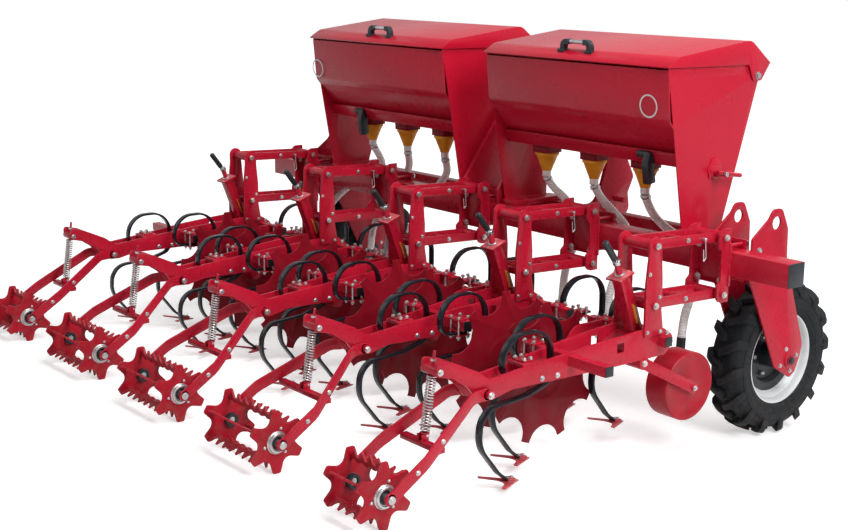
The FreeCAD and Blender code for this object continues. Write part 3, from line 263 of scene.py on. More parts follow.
SIGN_WHITE = Finish("sign_white", (0.78, 0.76, 0.75), (0.68, 0.64, 0.63), (0.5, 0.2, 0.2),
                    rough=(0.3, 0.42), patch=30.0, wear_and_sheen=0.2, soil=0.0, slot="white_rim")
HOSE_GREY = Finish("hose_grey", (0.95, 0.95, 0.93), (0.84, 0.84, 0.82), (0.6, 0.6, 0.58),
                   rough=(0.24, 0.4), coat=0.25, patch=14.0, wear_and_sheen=0.0, soil=0.05, grain=350.0,
                   slot="hose_grey")


# ---- outlines and meshes -------------------------------------------------------------------------

class Side(Enum):
    """A side of the machine and its sign along X."""

    LEFT = -1
    RIGHT = 1

    @property
    def word(self) -> str:
        """The side's name in lower case."""
        return self.name.lower()


def rounded(corners: list[tuple[float, ...]], steps: int = 6) -> list[Flat]:
    """A closed outline whose corners are rounded.

    Args:
        corners: its corners (a, b, radius) in order; the radius may be left out.
        steps: how many segments an arc has.

    Returns:
        The outline's points.
    """
    outline: list[Flat] = []
    for index, corner in enumerate(corners):
        spot = Vector(corner[:2])
        radius = corner[2] if len(corner) > 2 else 0.0
        if radius == 0.0:
            outline.append((spot.x, spot.y))
            continue
        back = (Vector(corners[index - 1][:2]) - spot).normalized()
        ahead = (Vector(corners[(index + 1) % len(corners)][:2]) - spot).normalized()
        half = back.angle(ahead) / 2
        reach = radius / math.tan(half)
        centre = spot + (back + ahead).normalized() * (radius / math.sin(half))
        start = spot + back * reach - centre
        end = spot + ahead * reach - centre
        sweep = start.angle_signed(end)
        for step in range(steps + 1):
            point = centre + Matrix.Rotation(-sweep * step / steps, 2) @ start
            outline.append((point.x, point.y))
    return outline


def strip(path: list[tuple[float, ...]], width: float, steps: int = 8) -> list[Flat]:
    """The outline of a band of one width along an open path.

    Args:
        path: corners (a, b, radius) of the band's middle line; the radius may be left out.
        width: the band's width.
        steps: how many segments an arc has.

    Returns:
        The outline's points.
    """
    spots = [Vector(corner[:2]) for corner in path]
    radii = [corner[2] if len(corner) > 2 else 0.0 for corner in path]
    sides: tuple[list, list] = ([], [])
    for i, spot in enumerate(spots):
        before = (spot - spots[i - 1]).normalized() if i else None
        after = (spots[i + 1] - spot).normalized() if i + 1 < len(spots) else None
        before = before or after
        after = after or before
        normal = Vector((-before.y, before.x))
        other = Vector((-after.y, after.x))
        mitre = (normal + other) / (1 + normal.dot(other))
        bend = before.x * after.y - before.y * after.x
        for side, hand in zip(sides, (1, -1)):
            radius = max(radii[i] - hand * math.copysign(width / 2, bend), 0.0) if radii[i] else 0.0
            edge = spot + mitre * (hand * width / 2)
            side.append((edge.x, edge.y, radius))
    return rounded(sides[0] + sides[1][::-1], steps)


def facing(line: Vector, up: str = "Y") -> Matrix:
    """The turn that points the Z axis along a line."""
    return line.to_track_quat("Z", up).to_matrix().to_4x4()


def placed(name: str, data: bpy.types.ID) -> bpy.types.Object:
    """A new object of the scene that shows a mesh or a curve.

    Args:
        name: the object's name.
        data: its mesh or curve.

    Returns:
        The object.
    """
    made = bpy.data.objects.new(name, data)
    bpy.context.scene.collection.objects.link(made)
    return made


def bevelled(made: bpy.types.Object, width: float, segments: int, angle: float) -> None:
    """Bevel a piece's edges.

    Args:
        made: the piece.
        width: how wide the bevel is.
        segments: how many steps it has.
        angle: the least angle in degrees of an edge that gets it.
    """
    bevel = made.modifiers.new("edges", "BEVEL")
    bevel.width = width
    bevel.segments = segments
    bevel.limit_method = "ANGLE"
    bevel.angle_limit = math.radians(angle)
    graph = bpy.context.evaluated_depsgraph_get()
    result = bpy.data.meshes.new_from_object(made.evaluated_get(graph))
    made.modifiers.clear()
    old = made.data
    made.data = result
    result.name = made.name
    bpy.data.meshes.remove(old)


def settle(made: bpy.types.Object, body: str, replaced: tuple[str, ...] = (),
           round_off: float = 0.0) -> None:
    """Bevel and smooth a piece, and put it on its body.

    Args:
        made: the piece.
        body: the body that it rides on.
        replaced: CAD nodes that it stands for.
        round_off: how wide its edges are bevelled.
    """
    if round_off > 0:
        bevelled(made, round_off, 2, 38.0)
    made.data.set_sharp_from_angle(angle=math.radians(SHARP_ANGLE))
    for face in made.data.polygons:
        face.use_smooth = True
    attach(made, body)
    if replaced:
        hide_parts(*replaced)
    LOG.info("%s rides on %s with %d faces", made.name, body, len(made.data.polygons))


@dataclass
class Shell:
    """A mesh under construction, with a finish for each face."""

    spots: list[Vector] = field(default_factory=list)
    faces: list[tuple[int, ...]] = field(default_factory=list)
    skins: list[int] = field(default_factory=list)
    finishes: list[Finish] = field(default_factory=list)

    def add(self, spots: list[Vector], faces: list[tuple[int, ...]], finish: Finish,
            place: Matrix | None = None) -> None:
        """Add vertices and faces.

        Args:
            spots: the new vertices.
            faces: faces as numbers of the new vertices.
            finish: what they are made of.
            place: where they go.
        """
        if finish not in self.finishes:
            self.finishes.append(finish)
        first = len(self.spots)
        self.spots += [place @ spot if place else spot for spot in spots]
        self.faces += [tuple(first + i for i in face) for face in faces]
        self.skins += [self.finishes.index(finish)] * len(faces)

    def block(self, low: Spot, high: Spot, finish: Finish, place: Matrix | None = None) -> None:
        """Add a block.

        Args:
            low: its low corner.
            high: its high corner.
            finish: what it is made of.
            place: where it goes.
        """
        corners = [Vector((x, y, z)) for x in (low[0], high[0]) for y in (low[1], high[1])
                   for z in (low[2], high[2])]
        faces = [(0, 1, 3, 2), (4, 6, 7, 5), (0, 4, 5, 1), (2, 3, 7, 6), (0, 2, 6, 4), (1, 5, 7, 3)]
        self.add(corners, faces, finish, place)

    def plate(self, outline: list[Flat], start: float, thick: float, finish: Finish,
              place: Matrix | None = None) -> None:
        """Add a plate.

        Args:
            outline: its corners (y, z).
            start: X of its first face.
            thick: its thickness along X.
            finish: what it is made of.
            place: where it goes.
        """
        count = len(outline)
        spots = [Vector((x, a, b)) for x in (start, start + thick) for a, b in outline]
        faces = [(i, (i + 1) % count, count + (i + 1) % count, count + i) for i in range(count)]
        faces += [tuple(range(count))[::-1], tuple(range(count, 2 * count))]
        self.add(spots, faces, finish, place)

    def turned(self, profile: list[Flat], around: int, finish: Finish, place: Matrix | None = None) -> None:
        """Add a body turned about the Z axis.

        Args:
            profile: its closed outline (radius, z); a radius of 0 lies on the axis.
            around: how many sides it has.
            finish: what it is made of.
            place: where it goes.
        """
        count = len(profile)
        spots = [Vector((r * math.cos(FULL_TURN * i / around), r * math.sin(FULL_TURN * i / around), z))
                 for i in range(around) for r, z in profile]
        rows = [(i * count, (i + 1) % around * count) for i in range(around)]
        faces = [(a + j, b + j, b + (j + 1) % count, a + (j + 1) % count)
                 for a, b in rows for j in range(count)]
        self.add(spots, faces, finish, place)

    def nut(self, radius: float, tall: float, finish: Finish, place: Matrix) -> None:
        """Add a hex nut that stands on a place and points along its Z axis."""
        self.turned([(0.0, 0.0), (radius, 0.0), (radius, tall), (0.0, tall)], 6, finish, place)

    def rod(self, start: Spot, end: Spot, radius: float, finish: Finish, around: int = 20,
            tip: float = 0.0015) -> None:
        """Add a round rod with broken edges.

        Args:
            start: one end's middle.
            end: the other end's middle.
            radius: its radius.
            finish: what it is made of.
            around: how many sides it has.
            tip: how far its ends are chamfered.
        """
        line = Vector(end) - Vector(start)
        place = Matrix.Translation(start) @ facing(line)
        long = line.length
        tip = min(tip, long / 3, radius / 3)
        self.turned([(0.0, 0.0), (radius - tip, 0.0), (radius, tip), (radius, long - tip),
                     (radius - tip, long), (0.0, long)], around, finish, place)

    def ribbon(self, rows: list[list[Vector]], finish: Finish) -> None:
        """Add a closed skin over rows of four corners each.

        Args:
            rows: the corners of each cross-section, in the same order.
            finish: what it is made of.
        """
        last = 4 * (len(rows) - 1)
        faces = [(i + j, i + (j + 1) % 4, i + 4 + (j + 1) % 4, i + 4 + j) for i in range(0, last, 4)
                 for j in range(4)]
        faces += [(3, 2, 1, 0), (last, last + 1, last + 2, last + 3)]
        self.add([spot for row in rows for spot in row], faces, finish)

    def mesh(self, name: str, place: Matrix = STANCE) -> bpy.types.Mesh:
        """The finished mesh, merged and with its faces outward.

        Args:
            name: the mesh's name.
            place: where it goes, which is on the ground unless another place is given.

        Returns:
            The mesh.
        """
        made = bpy.data.meshes.new(name)
        made.from_pydata([place @ spot for spot in self.spots], [], self.faces)
        for finish in self.finishes:
            made.materials.append(finish.material())
        made.polygons.foreach_set("material_index", self.skins)
        work = bmesh.new()
        work.from_mesh(made)
        bmesh.ops.remove_doubles(work, verts=work.verts, dist=MERGE)
        bmesh.ops.dissolve_degenerate(work, dist=1e-6, edges=work.edges)
        bmesh.ops.recalc_face_normals(work, faces=work.faces)
        work.to_mesh(made)
        work.free()
        return made

    def piece(self, name: str, body: str, replaced: tuple[str, ...] = (), round_off: float = 0.0) -> None:
        """Make the finished piece.

        Args:
            name: the piece's name.
            body: the body that it rides on.
            replaced: CAD nodes that it stands for.
            round_off: how wide its edges are bevelled.
        """
        settle(placed(name, self.mesh(name)), body, replaced, round_off)

    def ring(self, name: str, body: str, tree: Tree, count: int, phase: float, centre: Spot,
             round_off: float = 0.0) -> None:
        """Make a piece that repeats the shell, drawn about the X axis, round an axle.

        Args:
            name: the piece's name.
            body: the body that it rides on.
            tree: the tree that repeats it.
            count: how many times.
            phase: the first one's angle.
            centre: where the axle is.
            round_off: how wide its edges are bevelled.
        """
        seed = placed(f"{name}_seed", self.mesh(name, Matrix()))
        if round_off:
            bevelled(seed, round_off, 1, 30.0)
        made = grow(name, seed, tree, Count=count, Phase=phase)
        made.data.transform(STANCE @ Matrix.Translation(centre))
        settle(made, body)


def merged(node: str) -> bmesh.types.BMesh:
    """A copy of a CAD node's mesh with its doubles merged and its flat faces joined.

    Args:
        node: the CAD node.

    Returns:
        The working mesh.
    """
    work = bmesh.new()
    work.from_mesh(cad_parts[node].data)
    bmesh.ops.remove_doubles(work, verts=work.verts, dist=1e-5)
    bmesh.ops.dissolve_limit(work, angle_limit=math.radians(0.4), verts=work.verts, edges=work.edges)
    return work


def softened(node: str, finish: Finish, body: str, round_off: float,
             work: bmesh.types.BMesh | None = None) -> None:
    """A CAD node's shape with merged faces, broken edges and a finish.

    Args:
        node: the CAD node.
        finish: what it is made of.
        body: the body that it rides on.
        round_off: how wide its edges are bevelled.
        work: the node's working mesh if it has been changed, which is used up.
    """
    data = bpy.data.meshes.new(f"{node}_skin")
    work = work or merged(node)
    work.to_mesh(data)
    work.free()
    data.materials.clear()
    data.materials.append(finish.material())
    data.polygons.foreach_set("material_index", [0] * len(data.polygons))
    settle(placed(f"{node}_skin", data), body, (node,), round_off)


# ---- geometry node trees -------------------------------------------------------------------------

@dataclass
class Growth(Nodes):
    """A geometry node tree under construction, with named inputs."""

    tree: Tree = field(init=False)
    name: str
    sizes: dict[str, float | int]
    entry: bpy.types.bpy_prop_collection = field(init=False)

    def __post_init__(self) -> None:
        """Make the tree with its geometry sockets and its named inputs."""
        self.tree = bpy.data.node_groups.new(self.name, "GeometryNodeTree")
        for way in ("INPUT", "OUTPUT"):
            self.tree.interface.new_socket("Geometry", in_out=way, socket_type="NodeSocketGeometry")
        for size, value in self.sizes.items():
            kind = "NodeSocketInt" if isinstance(value, int) else "NodeSocketFloat"
            self.tree.interface.new_socket(size, in_out="INPUT", socket_type=kind).default_value = value
        self.entry = self.add("NodeGroupInput").outputs

    def close(self, geometry: Socket, finish: Finish) -> Tree:
        """End the tree in Realize Instances and Set Material.

        Args:
            geometry: what the tree has made.
            finish: what it is made of.

        Returns:
            The tree.
        """
        real = self.add("GeometryNodeRealizeInstances", Geometry=geometry)
        paint = self.add("GeometryNodeSetMaterial", Geometry=real.outputs[0], Material=finish.material())
        self.add("NodeGroupOutput", Geometry=paint.outputs[0])
        return self.tree


def grow(name: str, seed: bpy.types.Object, tree: Tree, **sizes: float) -> bpy.types.Object:
    """Run a geometry node tree on a seed and keep the plain mesh.

    Args:
        name: the grown piece's name.
        seed: the mesh or curve object that it grows from, which is used up.
        tree: the tree.
        sizes: values for the tree's named inputs.

    Returns:
        The grown piece.
    """
    work = seed.modifiers.new("growth", "NODES")
    work.node_group = tree
    for item in tree.interface.items_tree:
        if item.in_out == "INPUT" and item.name in sizes:
            work[item.identifier] = sizes[item.name]
    graph = bpy.context.evaluated_depsgraph_get()
    data = bpy.data.meshes.new_from_object(seed.evaluated_get(graph))
    bpy.data.objects.remove(seed)
    return placed(name, data)


def bolt_tree(name: str, finish: Finish) -> Tree:
    """A tree that sets a hex bolt head with a washer and a dome on each vertex, along its aim.

    Args:
        name: the tree's name.
        finish: what the bolts are made of.

    Returns:
        The tree.
    """
    work = Growth(name, {"Head height": 0.7, "Washer radius": 1.3})
    height, washer = work.entry["Head height"], work.entry["Washer radius"]
    parts = work.add("GeometryNodeJoinGeometry")
    # The head, its washer and its dome: sides, radius, depth, and the share of the height at their middle.
    discs = ((6, 1.0, height, 0.5), (16, washer, 0.18, 0.09), (16, 0.55, 0.3, 0.95))
    for sides, radius, depth, lift in discs:
        disc = work.add("GeometryNodeMeshCylinder", fill_type="NGON", Vertices=sides, Radius=radius,
                        Depth=depth)
        rise = work.add("CombineXYZ", Z=work.math("MULTIPLY", height, lift))
        move = work.add("GeometryNodeTransform", Geometry=disc.outputs["Mesh"], Translation=rise.outputs[0])
        work.feed(parts.inputs[0], move.outputs[0])
    aim = work.add("GeometryNodeInputNamedAttribute", data_type="FLOAT_VECTOR", Name="aim")
    size = work.add("GeometryNodeInputNamedAttribute", data_type="FLOAT", Name="size")
    turn = work.add("FunctionNodeAlignRotationToVector", axis="Z", Vector=aim.outputs[0])
    spread = work.add("GeometryNodeInstanceOnPoints", Points=work.entry["Geometry"],
                      Instance=parts.outputs[0], Rotation=turn.outputs[0], Scale=size.outputs[0])
    return work.close(spread.outputs[0], finish)


def ring_tree(name: str, finish: Finish) -> Tree:
    """A tree that repeats a piece round the X axis.

    Args:
        name: the tree's name.
        finish: what the pieces are made of.

    Returns:
        The tree.
    """
    work = Growth(name, {"Count": 6, "Phase": 0.0})
    line = work.add("GeometryNodeMeshLine", Count=work.entry["Count"], Offset=(0.0, 0.0, 0.0))
    share = work.math("DIVIDE", work.add("GeometryNodeInputIndex").outputs[0], work.entry["Count"])
    turn = work.add("CombineXYZ", X=work.math("MULTIPLY_ADD", share, FULL_TURN, work.entry["Phase"]))
    spread = work.add("GeometryNodeInstanceOnPoints", Points=line.outputs[0],
                      Instance=work.entry["Geometry"], Rotation=turn.outputs[0])
    return work.close(spread.outputs[0], finish)


def coil_tree() -> Tree:
    """A tree that winds a coil spring along Z, with closed ends.

    Returns:
        The tree.
    """
    work = Growth("coil", {"Turns": 14.0, "Radius": 0.016, "Length": 0.2, "Wire": 0.0032})
    turns, radius, length, wire = (work.entry[size] for size in work.sizes)
    spiral = work.add("GeometryNodeCurveSpiral", Resolution=18, Rotations=turns, Start_Radius=radius,
                      End_Radius=radius, Height=length)
    ring = work.add("GeometryNodeCurvePrimitiveCircle", Resolution=8, Radius=wire)
    skin = work.add("GeometryNodeCurveToMesh", Fill_Caps=True, Curve=spiral.outputs[0],
                    Profile_Curve=ring.outputs[0])
    return work.close(skin.outputs[0], ZINC)


def hose_tree() -> Tree:
    """A tree that draws a ribbed hose along a curve.

    Returns:
        The tree.
    """
    work = Growth("hose", {"Radius": 0.0185, "Rib height": 0.0012, "Rib pitch": 0.012})
    radius, height, pitch = (work.entry[size] for size in work.sizes)
    fine = work.add("GeometryNodeResampleCurve", mode="LENGTH", Curve=work.entry["Geometry"],
                    Length=work.math("DIVIDE", pitch, 6.0))
    along = work.add("GeometryNodeSplineParameter").outputs["Length"]
    wave = work.math("SINE", work.math("MULTIPLY", work.math("DIVIDE", along, pitch), FULL_TURN))
    fat = work.add("GeometryNodeSetCurveRadius", Curve=fine.outputs[0],
                   Radius=work.math("MULTIPLY_ADD", wave, height, radius))
    ring = work.add("GeometryNodeCurvePrimitiveCircle", Resolution=20, Radius=1.0)
    tube = work.add("GeometryNodeCurveToMesh", Fill_Caps=True, Curve=fat.outputs[0],
                    Profile_Curve=ring.outputs[0])
    if "Scale" in tube.inputs:
        work.feed(tube.inputs["Scale"], work.add("GeometryNodeInputRadius").outputs[0])
    return work.close(tube.outputs[0], HOSE_GREY)


@dataclass
class Trees:
    """The geometry node trees that the pieces share."""

    heads: Tree = field(default_factory=lambda: bolt_tree("bolt_heads", ZINC))
    caps: Tree = field(default_factory=lambda: bolt_tree("axle_caps", PLASTIC))
    bars: Tree = field(default_factory=lambda: ring_tree("bars", ROLLER_RED))
    lugs: Tree = field(default_factory=lambda: ring_tree("lugs", RUBBER))
    rim_nuts: Tree = field(default_factory=lambda: ring_tree("rim_nuts", ZINC))
    coil: Tree = field(default_factory=coil_tree)
    hose: Tree = field(default_factory=hose_tree)


@dataclass
class Fasteners:
    """Bolt heads of one body, gathered and made as one piece."""

    body: str
    name: str
    spots: list[tuple[Vector, Vector, float]] = field(default_factory=list)

    def put(self, spot: Spot, aim: Spot, size: float) -> None:
        """Add a head of a radius, with its washer at a spot and its head pointing along its aim."""
        self.spots.append((Vector(spot), Vector(aim), size))

    def both(self, x: float, spot: Spot, size: float) -> None:
        """Add a head on each face of a part that lies across X, x from the middle between them."""
        for hand in BOTH:
            self.put((spot[0] + hand * x, spot[1], spot[2]), (hand, 0, 0), size)

    def make(self, tree: Tree) -> None:
        """Make the piece.

        Args:
            tree: the tree that draws the heads.
        """
        data = bpy.data.meshes.new(self.name)
        data.from_pydata([STANCE @ spot for spot, _, _ in self.spots], [], [])
        data.attributes.new("aim", "FLOAT_VECTOR", "POINT")
        data.attributes.new("size", "FLOAT", "POINT")
        for index, (_, aim, size) in enumerate(self.spots):
            data.attributes["aim"].data[index].vector = STANCE.to_3x3() @ aim
            data.attributes["size"].data[index].value = size
        settle(grow(self.name, placed(f"{self.name}_seed", data), tree), self.body)


# ---- studio --------------------------------------------------------------------------------------

@dataclass
class Studio:
    """The camera, the pale floor with its backdrop, and the soft lamps (spot, side, watts)."""

    spot: Spot = (5.0919, -3.91594908, 1.75601967)
    turn: Spot = (79.4388099, -2.9223054, 51.4397152)
    lens: float = 58.09
    target: Spot = (0.0, 0.0, 0.7)
    sky: float = 0.2
    white: float = 1.0
    mirrored: float = 0.46
    floor_half: float = 60.0
    lamps: dict[str, tuple[Spot, float, float]] = field(default_factory=lambda: {
        "key": ((6.8, -0.6, 5.2), 3.2, 400.0), "fill": ((-5.5, -4.0, 4.5), 4.0, 45.0),
        "back": ((1.5, 6.5, 5.5), 4.0, 110.0), "top": ((2.0, 0.2, 6.8), 3.5, 265.0)})

    def make(self) -> None:
        """Set up the scene."""
        scene = bpy.context.scene
        scene.view_settings.view_transform = "Standard"
        data = bpy.data.cameras.new("camera")
        data.lens = self.lens
        data.sensor_width = 36.0
        data.clip_end = 60.0
        camera = placed("camera", data)
        camera.location = self.spot
        camera.rotation_euler = [math.radians(angle) for angle in self.turn]
        scene.camera = camera
        for name, (spot, side, power) in self.lamps.items():
            light = bpy.data.lights.new(name, "AREA")
            light.energy = power
            light.size = side
            lamp = placed(name, light)
            lamp.location = spot
            lamp.rotation_euler = (Vector(self.target) - Vector(spot)).to_track_quat("-Z", "Y").to_euler()
        self.world()
        self.floor()

    def seen(self, graph: Nodes) -> Socket:
        """How much of the white backdrop a ray sees: all from the camera, a part from a mirror or glass.

        Args:
            graph: the graph that asks.

        Returns:
            The mask's socket.
        """
        rays = graph.add("LightPath").outputs
        glossy = graph.math("MAXIMUM", rays["Is Glossy Ray"], rays["Is Transmission Ray"])
        return graph.math("MAXIMUM", rays["Is Camera Ray"], graph.math("MULTIPLY", glossy, self.mirrored))

    def world(self) -> None:
        """An even sky that the camera sees as white."""
        world = bpy.data.worlds.new("sky")
        bpy.context.scene.world = world
        world.use_nodes = True
        world.node_tree.nodes.clear()
        graph = Nodes(world.node_tree)
        soft, white = (graph.add("Background", Color=WHITE, Strength=level).outputs[0]
                       for level in (self.sky, self.white))
        graph.add("OutputWorld", Surface=graph.run("MixShader", self.seen(graph), soft, white))

    def floor(self) -> None:
        """A pale floor that brightens outward into the backdrop."""
        half = self.floor_half
        data = bpy.data.meshes.new("floor")
        data.from_pydata([(-half, -half, 0), (half, -half, 0), (half, half, 0), (-half, half, 0)], [],
                         [(0, 1, 2, 3)])
        paint = bpy.data.materials.new("floor_white")
        paint.use_nodes = True
        paint.node_tree.nodes.clear()
        graph = Nodes(paint.node_tree)
        matt = graph.add("BsdfDiffuse", Color=(0.80, 0.80, 0.80, 1.0)).outputs[0]
        far = graph.add("VectorMath", operation="LENGTH")
        graph.feed(far.inputs[0], graph.add("TexCoord").outputs["Object"])
        level = graph.span(far.outputs["Value"], 2.5, 9.0, self.white * 0.5, self.white)
        glow = graph.add("Emission", Color=WHITE, Strength=level).outputs[0]
        both = graph.run("AddShader", matt, glow)
        graph.add("OutputMaterial", Surface=graph.run("MixShader", self.seen(graph), matt, both))
        data.materials.append(paint)
        placed("floor", data)


# ---- toolbar and hoses ---------------------------------------------------------------------------

@dataclass
class Toolbar:
    """The toolbar with its caps, front tube, headstock and unit clamps."""

    bar_y: float = 0.630
    bar_z: float = 0.817
    half: float = 0.050
    clamp: float = 0.0252
    pitch: float = 0.750
    tie: Flat = (0.060, 0.070)
    hinge_x: float = 0.0952
    hinges: tuple[Flat, ...] = ((0.5425, 0.934), (0.5425, 0.695))
    cheek_x: float = 0.42
    cheek_bolts: tuple[Flat, ...] = ((0.74, 0.855), (0.80, 0.79), (1.03, 0.84))

    def make(self, trees: Trees) -> None:
        """Build and dress every fixed part.

        Args:
            trees: the shared trees.
        """
        for node in ("toolbar", "front_bar", "headstock", "unit_brackets"):
            softened(node, RED, ROOT, 0.002)
        softened("toolbar_caps", PLASTIC, ROOT, 0.004)
        bolts = Fasteners(ROOT, "clamp_nuts")
        for unit in range(-2, 3):
            x = unit * self.pitch
            for hand in BOTH:
                for rise in BOTH:
                    for face in (1, -1):
                        spot = (x + hand * self.tie[0], self.bar_y + face * (self.half + self.clamp),
                                self.bar_z + rise * self.tie[1])
                        bolts.put(spot, (0, face, 0), 0.0125)
                for hinge in self.hinges:
                    bolts.put((x + hand * self.hinge_x, *hinge), (hand, 0, 0), 0.0105)
        for hand in BOTH:
            for bolt in self.cheek_bolts:
                bolts.both(0.0102, (hand * self.cheek_x, *bolt), 0.012)
        bolts.make(trees.heads)


@dataclass
class Hoses:
    """Ribbed seed and fertiliser hoses, each on one smooth line from its funnel down behind a unit.

    A route's points are X from the middle, and Y and Z from the toolbar's axis.
    """

    bar: Flat = (0.630, 0.817)
    end_z: float = 0.405
    routes: dict[str, tuple[Spot, ...]] = field(default_factory=lambda: {
        "outer": ((1.015, 0.049, 0.205), (1.000, 0.099, 0.128), (1.050, 0.141, 0.053), (1.210, 0.141, 0.003),
                  (1.320, 0.069, -0.087), (1.360, -0.011, -0.182), (1.360, -0.061, -0.282)),
        "middle": ((0.700, 0.049, 0.205), (0.712, 0.074, 0.148), (0.780, 0.114, 0.078),
                   (0.865, 0.134, -0.002), (0.903, 0.064, -0.102), (0.905, -0.011, -0.192),
                   (0.905, -0.046, -0.282)),
        "inner": ((0.385, 0.049, 0.205), (0.392, 0.074, 0.158), (0.450, 0.117, 0.100), (0.535, 0.121, 0.023),
                  (0.590, 0.054, -0.082), (0.597, -0.011, -0.182), (0.597, -0.031, -0.282))})

    def make(self, trees: Trees) -> None:
        """Build the six hoses and their end cuffs.

        Args:
            trees: the shared trees.
        """
        for side in Side:
            for label, route in self.routes.items():
                spots = [Vector((side.value * x, self.bar[0] + y, self.bar[1] + z)) for x, y, z in route]
                spots.append(Vector((spots[-1].x, spots[-1].y - 0.005, self.end_z)))
                name = f"hose_{label}_{side.word}"
                made = grow(name, self.line(name, spots), trees.hose)
                settle(made, ROOT, (f"hoses_{side.word}",))
                self.cuffs(f"{name}_cuffs", spots)

    def line(self, name: str, spots: list[Vector]) -> bpy.types.Object:
        """A hose's middle line.

        Args:
            name: the hose's name.
            spots: the line's control points.

        Returns:
            The curve.
        """
        curve = bpy.data.curves.new(name, "CURVE")
        curve.dimensions = "3D"
        curve.resolution_u = 24
        line = curve.splines.new("NURBS")
        line.points.add(len(spots) - 1)
        for point, spot in zip(line.points, spots):
            point.co = (*(STANCE @ spot), 1.0)
        line.use_endpoint_u = True
        line.order_u = 3
        return placed(f"{name}_line", curve)

    def cuffs(self, name: str, spots: list[Vector]) -> None:
        """The clamp at the top of a hose and the spout at its lower end.

        Args:
            name: the piece's name.
            spots: the control points of the hose's line.
        """
        shell = Shell()
        down = (spots[1] - spots[0]).normalized()
        clip = spots[0] + down * 0.011
        shell.rod(spots[0] + down * 0.006, spots[0] + down * 0.016, 0.0225, STEEL, 28)
        shell.block(clip + Vector((0.018, -0.006, -0.006)), clip + Vector((0.030, 0.006, 0.006)), STEEL)
        last = (spots[-1] - spots[-2]).normalized()
        shell.rod(spots[-1] - last * 0.055, spots[-1] - last * 0.001, 0.0200, PLASTIC, 28)
        shell.piece(name, ROOT)


# ---- units ---------------------------------------------------------------------------------------

